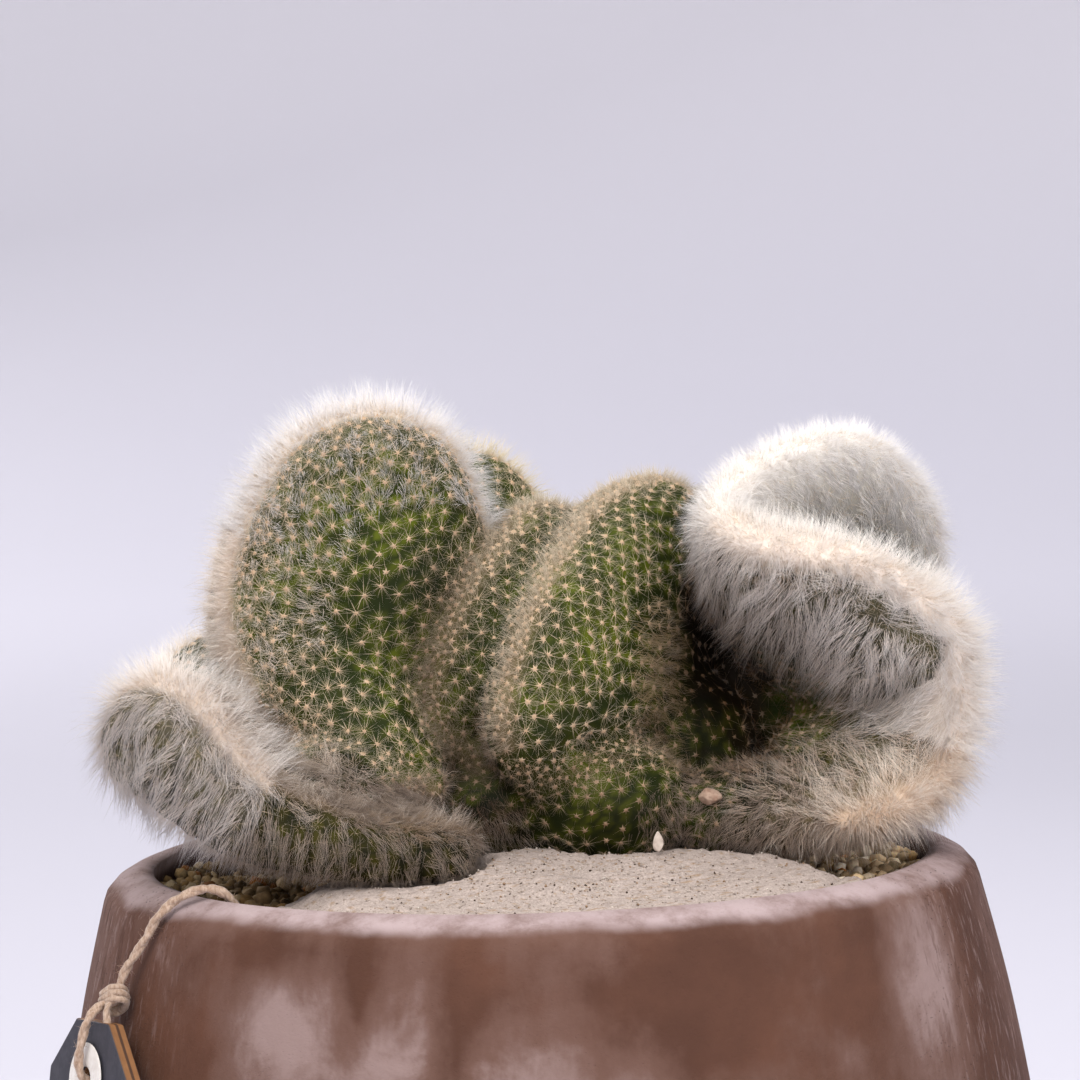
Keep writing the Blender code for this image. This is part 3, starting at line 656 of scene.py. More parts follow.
@dataclass(frozen=True)
class PlyFinish:
    """Painted plywood whose cut edge shows its scorched veneers."""

    paint: Triple = (0.036, 0.035, 0.045)
    worn: Triple = (0.13, 0.13, 0.15)
    wood: Triple = (0.20, 0.082, 0.026)
    pale_wood: Triple = (0.32, 0.15, 0.055)
    burnt: Triple = (0.050, 0.022, 0.012)

    def material(self) -> Material:
        """Make the material.

        Returns:
            The material.
        """
        r = Recipe("painted_plywood_tag", 0.62, 0.4)
        veneer = r.mix(r.noise(500, 4, 0.6, stretch=(1, 1, 0.3)), self.wood, self.pale_wood)
        lines = r.ramp(r.attribute("ply"), (0.0, 1.0), (0.10, 0.15), (0.36, 0.1), (0.44, 1.0), (0.56, 0.9),
                       (0.62, 0.1), (0.9, 0.2), (1.0, 1.0), smooth=False)
        side = r.mix(lines, veneer, self.burnt)
        face = r.mix(r.ramp(r.noise(160, 5, 0.7), (0.56, 0.0), (0.78, 0.35)), self.paint, self.worn)
        r.colour(r.mix(r.ramp(r.attribute("cut"), (0.35, 0.0), (0.6, 1.0)), face, side))
        r.rough(r.ramp(r.noise(320, 3, 0.6), (0.3, 0.5), (0.7, 0.72)))
        return r.bump((r.noise(700, 4, 0.6, stretch=(1, 1, 0.4)), 0.06))


def plain_finish(name: str, low: Triple, high: Triple, scale: float, roughness: float, depth: float,
                 specular: float = 0.3) -> Material:
    """A matte finish that wanders between two colours, with a fine bump.

    Args:
        name: name of the material.
        low: the darker colour.
        high: the lighter colour.
        scale: turns of the pattern a metre.
        roughness: roughness all over.
        depth: depth of the bump, mm.
        specular: specular level all over.

    Returns:
        The material.
    """
    r = Recipe(name, roughness, specular)
    r.colour(r.mix(r.ramp(r.noise(scale, 5, 0.65), (0.3, 0.0), (0.7, 1.0)), low, high))
    return r.bump((r.noise(scale * 3, 4, 0.6), depth), (r.noise(scale * 11, 2, 0.5), depth / 3))


# Camera, floor and light


@dataclass
class Studio:
    """Plain pale floor that rises into a wall all round, soft light and the camera."""

    distance: float = 0.85
    seen_width: float = 0.2242
    sensor: float = 36.0
    target: Triple = (0.0019, 0.0, 0.215)
    pitch: float = math.radians(3.6)
    roll: float = math.radians(1.85)
    floor_radius: float = 1300.0
    wall_radius: float = 3600.0
    wall_top: float = 3000.0
    steps: int = 96

    def camera(self) -> None:
        """Place the camera at the photograph's viewing angle."""
        data = bpy.data.cameras.new("camera")
        data.sensor_width = self.sensor
        data.lens = self.sensor * self.distance / self.seen_width
        back = np.array((0.0, -math.cos(self.pitch), math.sin(self.pitch)))
        level = np.array((1.0, 0.0, 0.0))
        steep = np.cross(back, level)
        right = level * math.cos(self.roll) - steep * math.sin(self.roll)
        up = steep * math.cos(self.roll) + level * math.sin(self.roll)
        place = np.identity(4)
        place[:3, :] = np.stack([right, up, back, np.array(self.target) + back * self.distance], axis=1)
        obj = link("camera", data)
        obj.matrix_world = Matrix(place.tolist())
        bpy.context.scene.camera = obj

    def floor(self) -> None:
        """Turn the floor's profile: flat, then a quarter ellipse up to the wall's top."""
        q = np.linspace(0, math.pi / 2, 24)
        radii = np.concatenate([[1.0, 400.0, self.floor_radius * 0.8],
                                self.floor_radius + (self.wall_radius - self.floor_radius) * np.sin(q)])
        heights = np.concatenate([[0, 0, 0], self.wall_top * (1 - np.cos(q))])
        rings = turned(radii[:, None], heights[:, None], circle(self.steps))
        j = np.arange(self.steps)
        fan = np.stack([np.full(self.steps, rings[..., 0].size), j, (j + 1) % self.steps], axis=1)
        mesh = put_mesh("floor", np.vstack([rings.reshape(-1, 3), np.zeros((1, 3))]),
                        [grid_faces(len(radii), self.steps)[:, ::-1], fan])
        r = Recipe("pale_floor", 0.95, 0.1)
        # Painted light: the floor darker and the wall paler toward its top, as the lamps' light falls off
        rise = r.maths("MULTIPLY", r.height(), 1.6, clamp=True)
        r.colour(r.ramp(rise, (0.0, (0.63, 0.622, 0.692)), (0.12, (0.76, 0.75, 0.83)),
                        (0.85, (0.96, 0.94, 1.0))))
        mesh.materials.append(r.material)
        link("floor", mesh)

    def light(self, name: str, place: Triple, size: float, watts: float, colour: Triple) -> None:
        """Hang a square soft light that faces the plant.

        Args:
            name: name of the light.
            place: where it hangs, in metres.
            size: length of its sides, in metres.
            watts: its power.
            colour: its colour.
        """
        data = bpy.data.lights.new(name, "AREA")
        data.size = size
        data.energy = watts
        data.color = colour
        obj = link(name, data)
        obj.location = place
        way = Vector((0, 0, 0.17)) - Vector(place)
        obj.rotation_euler = way.to_track_quat("-Z", "Y").to_euler()

    def build(self) -> None:
        """Make the camera, the floor, the lights and the room's dim glow."""
        self.camera()
        self.floor()
        self.light("key_light", (-0.45, -1.1, 1.4), 1.2, 25, (1.0, 0.98, 0.96))
        self.light("front_light", (0.9, -1.45, 0.7), 1.3, 10, (1.0, 0.985, 0.98))
        self.light("top_light", (0.25, 0.25, 1.9), 1.5, 23, (1.0, 0.985, 0.975))
        self.light("right_light", (1.5, -0.4, 0.9), 1.2, 4, (0.97, 0.97, 1.0))
        self.light("back_light", (-0.9, 1.5, 1.1), 1.2, 9, (1.0, 0.98, 0.97))
        world = bpy.data.worlds.new("soft_room")
        world.use_nodes = True
        glow = world.node_tree.nodes["Background"].inputs
        glow["Color"].default_value = (0.93, 0.93, 1.0, 1)
        glow["Strength"].default_value = 0.25
        bpy.context.scene.world = world
        bpy.context.scene.view_settings.view_transform = "Standard"


# Tag, twine and knot


@dataclass
class TagAndTwine:
    """The octagonal plywood tag with its ring, and the twine that hangs it from the rim."""

    azimuth: float = -149.5
    height: float = 108.5
    out: float = 103.95
    lean: float = 9.0
    roll: float = 3.0
    across_flats: float = 36.0
    thick: float = 3.3
    bevel: float = 0.22
    hole_up: float = 6.4
    hole_radius: float = 2.6
    ring_radius: float = 7.3
    ring_thick: float = 0.5
    knot_at: Triple = (0.8, 22.4, -2.4)
    knot_axes: Triple = (4.3, 3.3, 3.3)
    knot_turns: float = 3.2
    knot_tilt: float = 28.0
    knot_squeeze: float = 0.9
    twine_width: float = 2.0
    strands: int = 2
    lay_length: float = 11.0
    loose_fibres: int = 210
    over: tuple = ((-59.6, -49.6, 145.9), (-60.4, -50.4, 148.6), (-62.2, -51.4, 150.8),
                   (-64.6, -52.0, 151.9), (-67.6, -52.2, 151.7), (-70.6, -52.0, 150.5),
                   (-73.2, -52, 148.8), (-75.7, -52, 146.2), (-78.2, -51.2, 142.0))
    loop: tuple = ((1.5, 20.8, 1.2), (1.9, 18.4, 3.4), (1.2, 13.8, 4.2), (0.3, 9.8, 4.0), (0, 7.0, 2.8),
                   (0, 5.8, 0), (0, 7.0, -2.8), (0, 9.8, -4.0), (0, 13.2, -4.0), (0, 16.2, -3.9))
    tail: tuple = ((2.6, 21.6, -0.4), (4.0, 20.2, 0.6), (4.9, 17.9, 0.7), (5.0, 16.0, 0.4))

    def to_world(self, local: Array) -> Array:
        """Carry points from the tag's frame into the model's.

        Args:
            local: points in mm, X to the tag's right, Y up it and Z out of its face.

        Returns:
            The points in the model's frame.
        """
        az, lean, roll = (math.radians(a) for a in (self.azimuth, self.lean, self.roll))
        out = np.array((math.cos(az), math.sin(az), 0.0))
        right = np.array((-math.sin(az), math.cos(az), 0.0))
        up = UP * math.cos(lean) - out * math.sin(lean)
        axes = np.array((right * math.cos(roll) + up * math.sin(roll),
                         up * math.cos(roll) - right * math.sin(roll),
                         out * math.cos(lean) + UP * math.sin(lean)))
        return np.asarray(local, float) @ axes + (out * self.out + UP * self.height)

    def route(self, count: int) -> Array:
        """Points along the middle of the twine, from the grit over the rim into the tag's hole.

        Args:
            count: how many points.

        Returns:
            The points.
        """
        knot = self.to_world(np.array([self.knot_at]))[0]
        points = np.vstack([self.over, knot + (2.3, -0.6, 5.6), knot, self.to_world(self.loop)])
        return smooth_route(points, count)

    @staticmethod
    def frames(path: Array) -> tuple[Array, Array]:
        """Two unit vectors across a path at each point, turned as little as possible.

        Args:
            path: the points.

        Returns:
            The vectors.
        """
        along = unit(np.gradient(path, axis=0))
        side = np.zeros_like(path)
        ref = np.cross(along[0], (0.3, 0.9, 0.2))
        for i, t in enumerate(along):
            ref = ref - t * (ref @ t)
            ref = ref / np.linalg.norm(ref)
            side[i] = ref
        return side, np.cross(along, side)

    def strand_tubes(self, path: Array, width: float, sides: int = 8) -> tuple[Array, Array, Array]:
        """Sweep the plies: each is a tube whose middle circles the path once a lay length.

        Args:
            path: points of the twine's middle line.
            width: diameter of the whole twine.
            sides: corners of a ply's section.

        Returns:
            Vertices, quads and triangles.
        """
        side, other = self.frames(path)
        run = run_along(path)
        parts = []
        for k in range(self.strands):
            turn = 2 * math.pi * (run / self.lay_length + k / self.strands)
            wobble = 1 + 0.06 * np.sin(run * 2.3 + 2 * k)
            off = side * np.cos(turn)[:, None] + other * np.sin(turn)[:, None]
            middle = path + off * (width * 0.135 * wobble)[:, None]
            radius = width * 0.365 * (1 + 0.07 * np.sin(run * 3.1 + k))
            rings = middle[:, None] + radius[:, None, None] * spokes(*self.frames(middle), circle(sides))
            parts.append(closed_shell(rings, middle[0], middle[-1]))
        return joined(*parts)

    def twine(self, material: Material) -> None:
        """The cord itself with its loose fibres.

        Args:
            material: its finish.
        """
        path = self.route(230)
        shell = self.strand_tubes(path, self.twine_width)
        rng = np.random.default_rng(SEED + 5)
        n = self.loose_fibres
        pick = rng.integers(4, len(path) - 8, n)
        side, other = self.frames(path)
        along = unit(np.gradient(path, axis=0))
        turn = rng.uniform(0, 2 * math.pi, n)[:, None]
        off = side[pick] * np.cos(turn) + other[pick] * np.sin(turn)
        ways = unit(off * rng.uniform(0.4, 1.0, (n, 1)) + along[pick] * rng.uniform(-1, 1, (n, 1)))
        pale = np.tile((1.25, 1.2, 1.15), (n, 1))
        verts, tris, colours = Hairs(path[pick] + off * 0.75, ways, rng.uniform(0.8, 1.8, n),
                                     np.full(n, 0.035), pale, pale).straight()
        obj = add_piece("jute_twine", joined(shell, (verts, tris)), material, Slot.JUTE, "twine",
                        tint=np.vstack([np.ones_like(shell[0]), colours]))

    def knot(self, material: Material) -> None:
        """Wraps round the twine and a loose tail.

        The wraps are a tilted helix, x = a cos t, y = pitch t, z = c sin t, fullest midway.

        Args:
            material: their finish.
        """
        t = np.linspace(-0.5, 0.5, 110)
        full = np.sqrt(1 - (t * 1.15) ** 2)
        reach = np.array(self.knot_axes) - self.twine_width * 0.45
        turn = t * self.knot_turns * 2 * math.pi
        path = np.stack([full * reach[0] * np.cos(turn), t * 2 * reach[1] * 0.9,
                         full * reach[2] * np.sin(turn)], axis=1)
        c, s = math.cos(math.radians(self.knot_tilt)), math.sin(math.radians(self.knot_tilt))
        path = path @ np.array(((c, s, 0), (-s, c, 0), (0, 0, 1)))
        path = self.to_world(path * self.knot_squeeze + self.knot_at)
        wraps = self.strand_tubes(path, self.twine_width * 0.92)
        tail = self.strand_tubes(self.to_world(smooth_route(self.tail, 30)), self.twine_width * 0.8)
        shape = joined(wraps, tail)
        add_piece("jute_knot", shape, material, Slot.JUTE, "twine_knot", tint=np.full((len(shape[0]), 3), 0.93))

    def tag(self, material: Material, steps: int = 96) -> None:
        """The octagon: a section from hole to rim and back, carried round the hole.

        The outer point in a direction is where a ray from the hole meets the octagon's nearest
        side: (half width - centre along the side's normal) / cosine of the angle between them. A
        row of the section is radius = share reach + extra at a level, and whether it is cut wood.

        Args:
            material: its finish.
            steps: points round the hole.
        """
        turn = circle(steps)
        centre = np.array((0.0, self.hole_up))
        way = np.stack([np.cos(turn), np.sin(turn)], axis=1)
        facing = np.radians(22.5 + 45 * np.arange(8)) - math.pi / 8
        normals = np.stack([np.cos(facing), np.sin(facing)], axis=1)
        cosine = way @ normals.T
        room = (self.across_flats / 2 - normals @ centre)[None]
        reach = np.where(cosine > 1e-6, room / np.maximum(cosine, 1e-6), 1e9).min(axis=1)
        z, bevel, hole = self.thick / 2, self.bevel, self.hole_radius
        face = [(0, hole, z - bevel, 1), (0, hole + bevel, z, 0), (0.5, hole / 2, z, 0), (1, -bevel, z, 0)]
        rows = np.array(face + [(1, 0, level, 1) for level in np.linspace(z - bevel, bevel - z, 9)]
                        + [(share, extra, -level, cut) for share, extra, level, cut in face[::-1]])
        radius = rows[:, :1] * reach + rows[:, 1:2]
        level = np.broadcast_to(rows[:, 2:3, None], (*radius.shape, 1))
        verts = np.concatenate([centre + way * radius[..., None], level], axis=-1).reshape(-1, 3)
        add_piece("hang_tag_plywood", (self.to_world(verts), grid_faces(len(rows), steps, loop_rows=True)),
                  material, Slot.PLY, "hang_tag", smooth=False,
                  ply=np.repeat((rows[:, 2] + z) / (2 * z), steps), cut=np.repeat(rows[:, 3], steps))

    def ring(self, material: Material, around: int = 72, sides: int = 16) -> None:
        """The flat white ring, its section a rounded bar turned about the hole.

        Args:
            material: its finish.
            around: sections round the hole.
            sides: points of a section.
        """
        c, s = np.cos(circle(sides)), np.sin(circle(sides))
        half = (self.ring_radius - self.hole_radius) / 2
        middle = (self.ring_radius + self.hole_radius) / 2
        bar = middle + np.sign(c) * np.abs(c) ** 0.55 * half
        lift = np.sign(s) * np.abs(s) ** 0.8 * self.ring_thick / 2
        turn = circle(around)[:, None]
        z = self.thick / 2 + GAP + self.ring_thick / 2
        rings = np.stack([bar * np.cos(turn), self.hole_up + bar * np.sin(turn), z + lift + 0 * turn], axis=-1)
        add_piece("tag_ring", (self.to_world(rings.reshape(-1, 3)), grid_faces(around, sides, loop_rows=True)),
                  material, Slot.RING, "tag_eyelet")

    def build(self) -> None:
        """Make the tag, the ring, the knot and the twine."""
        self.tag(PlyFinish().material())
        self.ring(plain_finish("white_card_ring", (0.66, 0.61, 0.55), (0.80, 0.77, 0.72), 300, 0.7, 0.05))
        self.knot(JuteFinish().material("jute_fibre_knot"))
        self.twine(JuteFinish().material("jute_fibre"))


class Rows:
    """Arrays with a row for each thing, which are the fields of a dataclass."""

    def part(self, rows: Array) -> "Rows":
        """Some of the things."""
        return type(self)(*(column[rows] for column in vars(self).values()))

    @classmethod
    def joined(cls, sets: list) -> "Rows":
        """Several sets as one."""
        return cls(*(np.concatenate(columns) for columns in zip(*(vars(s).values() for s in sets))))


@dataclass
class Hairs(Rows):
    """Many hairs: their roots, ways, lengths and widths, and their colours at root and tip."""

    roots: Array
    ways: Array
    lengths: Array
    widths: Array
    low: Array
    high: Array

    def foot(self) -> Array:
        """The small triangle in the skin on which each hair stands, round its root."""
        return spokes(*across(self.ways), np.radians((0, 120, 240)))

    def straight(self) -> tuple[Array, Array, Array]:
        """Three faces from each foot to the tip, root + way length.

        Returns:
            Vertices, triangles and the colour of each vertex.
        """
        base = self.roots[:, None] + self.foot() * self.widths[:, None, None]
        tips = self.roots + self.ways * self.lengths[:, None]
        shape = copies(np.concatenate([base, tips[:, None]], axis=1), ((0, 1, 3), (1, 2, 3), (2, 0, 3)))
        return *shape, np.stack([self.low] * 3 + [self.high], axis=1).reshape(-1, 3)

    def bent(self, second: Array) -> tuple[Array, Array, Array]:
        """Hairs whose upper half turns another way.

        Args:
            second: the way of each upper half.

        Returns:
            Vertices, triangles and the colour of each vertex.
        """
        foot, half = self.foot(), (self.lengths * 0.5)[:, None]
        middle = self.roots + self.ways * half
        verts = np.concatenate([self.roots[:, None] + foot * self.widths[:, None, None],
                                middle[:, None] + foot * (self.widths * 0.8)[:, None, None],
                                (middle + second * half)[:, None]], axis=1)
        cell = []
        for k in range(3):
            m = (k + 1) % 3
            cell += [(k, m, 3 + m), (k, 3 + m, 3 + k), (3 + k, 3 + m, 6)]
        colours = np.stack([self.low] * 3 + [(self.low + self.high) / 2] * 3 + [self.high], axis=1)
        return *copies(verts, cell), colours.reshape(-1, 3)


# The crest


@dataclass(frozen=True)
class Lobe:
    """A thick leaf of flesh of the crest.

    Each row of numbers gives a point of the growing edge, the point at the root that belongs
    to it, and half of the leaf's thickness there.
    """

    name: str
    rows: tuple

    def edge_length(self) -> float:
        """Length of the growing edge."""
        edge = smooth_route(self.rows, 200)[:, :3]
        return float(np.linalg.norm(np.diff(edge, axis=0), axis=1).sum())

    def sections(self, count: int, turns: Array) -> Array:
        """Blunt oval sections across the leaf.

        A point is root + (edge - root) (1 + cos w) / 2 + normal half taper |sin w|^0.75 with the
        sign of sin w, the normal being square to the edge's run and to the line from the root.

        Args:
            count: number of sections.
            turns: the angles w.

        Returns:
            Sections by angles by three.
        """
        route = smooth_route(self.rows, count)
        edge, root, half = route[:, :3], route[:, 3:6], route[:, 6]
        out = edge - root
        normal = unit(np.cross(np.gradient(edge, axis=0), out))
        reach = (1 + np.cos(turns)) / 2
        thick = np.sign(np.sin(turns)) * np.abs(np.sin(turns)) ** 0.75
        u = np.linspace(0, 1, count)
        taper = np.clip(np.minimum(u, 1 - u) * 12, 0.05, 1) ** 0.5
        return (root[:, None] + out[:, None] * reach[None, :, None]
                + normal[:, None] * (half * taper)[:, None, None] * thick[None, :, None])

    def shell(self, count: int = 72, around: int = 36) -> tuple[Array, Array, Array]:
        """The leaf's closed surface: vertices, quads and triangles.

        Args:
            count: number of sections.
            around: points of a section.

        Returns:
            The shell.
        """
        ends = smooth_route(self.rows, 2)
        ends = (ends[:, :3] + ends[:, 3:6]) / 2
        return closed_shell(self.sections(count, circle(around)), *ends)

    def areole_grid(self, step: float) -> Array:
        """Places in files down both faces from the edge, every other file shifted half a step.

        Args:
            step: distance between places in a file.

        Returns:
            The places, those nearest to the edge first.
        """
        files = max(4, int(self.edge_length() / (step * 0.93)))
        out = []
        for i, ring in enumerate(self.sections(files, np.linspace(-math.pi, math.pi, 161))):
            run = run_along(ring)
            want = np.arange(-30, 31) * step + (step / 2 if i % 2 else 0) + run[len(ring) // 2]
            want = want[(want > 0) & (want < run[-1])]
            out.append(np.stack([np.interp(want, run, column) for column in ring.T], axis=1))
        places = np.vstack(out)
        return places[np.argsort(nearest(places, smooth_route(self.rows, files)[:, :3])[1])]


@dataclass(frozen=True)
class Wool:
    """The coat along a stretch of ridge.

    start and end are shares of the lobe's edge. breadth is half of the woolly band, density its
    hairs a square mm, length theirs in mm and hang how far they droop. cover is how many hairs a
    square mm grow on the face beside it, reach how far down the face these go on, stream their
    length, coat how much of the skin's colour the wool hides at the ridge and under how much of
    it hides beyond. Areoles crowd together up to crowd mm from the ridge.
    """

    lobe: str
    start: float = 0.0
    end: float = 1.0
    breadth: float = 3.4
    density: float = 3.0
    length: float = 4.6
    hang: float = 0.12
    cover: float = 1.0
    reach: float = 10.0
    stream: float = 4.0
    coat: float = 0.85
    under: float = 0.0
    crowd: float = 6.0
    root: Triple = (0.80, 0.66, 0.52)
    tip: Triple = (0.94, 0.88, 0.80)


@dataclass(frozen=True)
class Patch:
    """Combed hair on a part of a face or in a crease: where, how thick, how long and which way."""

    centre: Triple
    axes: Triple
    count: int
    length: float
    comb: Triple
    root: Triple
    tip: Triple


@dataclass(frozen=True)
class Shade:
    """Painted shade on the flesh and hair of a fold: where, how wide and the share of colour lost.

    A loss below nought is painted light: flesh brighter than the rest.
    """

    centre: Triple
    axes: Triple
    loss: float


LOBES = (
    Lobe("ear", (
        (-16, 10, 200, -24, 6, 190, 9), (-12, 2, 218, -25, 4, 192, 12),
        (-15, -3, 234, -27, 2, 194, 14), (-25, -6, 242, -30, 1, 196, 15),
        (-37, -8, 243, -33, 0, 197, 15), (-49, -10, 237, -35, 0, 197, 15),
        (-58, -12, 224, -36, 0, 195, 15), (-63, -15, 209, -36, -1, 192, 15),
        (-62, -19, 195, -34, -2, 189, 15), (-56, -24, 184, -31, -3, 186, 14),
        (-44, -29, 175, -28, -3, 183, 13), (-31, -32, 169, -25, -3, 180, 11),
        (-19, -32, 166, -20, -2, 177, 9))),
    Lobe("low_left", (
        (-13, -31, 159, -13, -27, 152, 8), (-24, -38, 162, -25, -34, 152, 10),
        (-36, -42, 165, -37, -37, 153, 11), (-47, -44, 169, -47, -37, 155, 11),
        (-56, -45, 176, -57, -35, 158, 12), (-64, -43, 186, -65, -33, 162, 13),
        (-72, -39, 192, -72, -30, 166, 12), (-79, -33, 191, -77, -25, 170, 11),
        (-83, -23, 184, -79, -16, 172, 9))),
    Lobe("left_fold", (
        (10, 26, 218, 20, 40, 190, 8), (1, 10, 222, 12, 30, 185, 10),
        (-6, -5, 216, 8, 22, 182, 10), (-13, -15, 207, 6, 14, 180, 10),
        (-18, -21, 197, 4, 10, 178, 10), (-21, -20, 187, 2, 8, 176, 10),
        (-20, -18, 178, 2, 6, 174, 9), (-12, -20, 171, 2, 4, 170, 8))),
    Lobe("middle_fold", (
        (38, 26, 220, 36, 40, 190, 10), (28, 17, 226, 34, 34, 188, 13),
        (16, 5, 223, 33, 28, 185, 14), (7, -10, 214, 32, 24, 182, 14),
        (0, -22, 203, 31, 20, 180, 14), (-5, -30, 190, 30, 16, 178, 13),
        (-7, -33, 179, 28, 14, 176, 12), (-3, -32, 171, 26, 12, 172, 11),
        (8, -27, 169, 24, 10, 171, 10), (20, -18, 174, 22, 10, 173, 9))),
    Lobe("right_loop", (
        (78, 48, 184, 60, 32, 175, 8), (84, 41, 204, 66, 28, 185, 9),
        (83, 30, 220, 69, 22, 190, 9), (72, 15, 233, 66, 18, 195, 9),
        (58, 3, 234, 60, 14, 195, 9), (45, -8, 229, 54, 14, 192, 9),
        (38, -20, 222, 50, 16, 188, 9), (43, -30, 217, 50, 18, 186, 9),
        (54, -34, 214, 52, 20, 184, 9), (66, -33, 211, 54, 20, 182, 9),
        (78, -29, 204, 56, 18, 180, 9), (86, -23, 195, 56, 16, 178, 10),
        (88, -19, 183, 56, 14, 176, 10), (86, -18, 171, 54, 12, 172, 10),
        (81, -22, 163, 50, 10, 168, 9), (71, -29, 159, 46, 4, 164, 10),
        (61, -31, 157, 42, 2, 162, 10))),
    Lobe("right_brow", (
        (42, -27, 214, 50, 6, 206, 9), (50, -30, 210, 54, 8, 203, 10),
        (60, -31, 206, 58, 8, 199, 11), (70, -29, 200, 61, 6, 194, 11),
        (79, -25, 193, 63, 4, 190, 11))),
    Lobe("back_fan", (
        (-52, 30, 186, -24, 26, 172, 8), (-50, 36, 206, -24, 28, 176, 11),
        (-37, 42, 221, -21, 30, 180, 12), (-23, 47, 229, -18, 30, 182, 12),
        (-12, 50, 231, -15, 30, 182, 12), (-4, 51, 226, -12, 30, 180, 12),
        (2, 50, 215, -8, 30, 178, 11), (6, 47, 198, -4, 30, 175, 9))),
    Lobe("inner_fold", (
        (-60, 14, 192, -34, 10, 176, 9), (-50, 20, 206, -30, 14, 178, 10),
        (-36, 23, 213, -24, 16, 180, 10), (-20, 24, 214, -16, 16, 180, 10),
        (-4, 27, 210, -6, 18, 180, 10))),
    Lobe("back_right", (
        (20, 44, 186, 30, 28, 170, 8), (24, 50, 204, 36, 30, 176, 10),
        (38, 51, 213, 42, 32, 178, 11), (54, 50, 210, 50, 32, 178, 11),
        (66, 50, 198, 56, 32, 175, 10), (72, 50, 182, 58, 30, 170, 9),
        (66, 50, 168, 52, 26, 165, 8))),
    Lobe("back_left", (
        (-80, -6, 172, -56, 4, 164, 8), (-82, 10, 184, -56, 8, 168, 10),
        (-74, 24, 192, -52, 12, 170, 11), (-60, 34, 190, -46, 16, 170, 11),
        (-48, 42, 180, -40, 18, 168, 10), (-36, 48, 170, -30, 18, 165, 8))),
    Lobe("back_low", (
        (-34, 50, 162, -20, 20, 158, 8), (-18, 58, 170, -10, 22, 160, 10),
        (2, 62, 174, 6, 24, 162, 11), (22, 61, 170, 22, 24, 160, 11),
        (42, 58, 164, 34, 22, 158, 10), (56, 48, 160, 44, 18, 158, 8))),
)
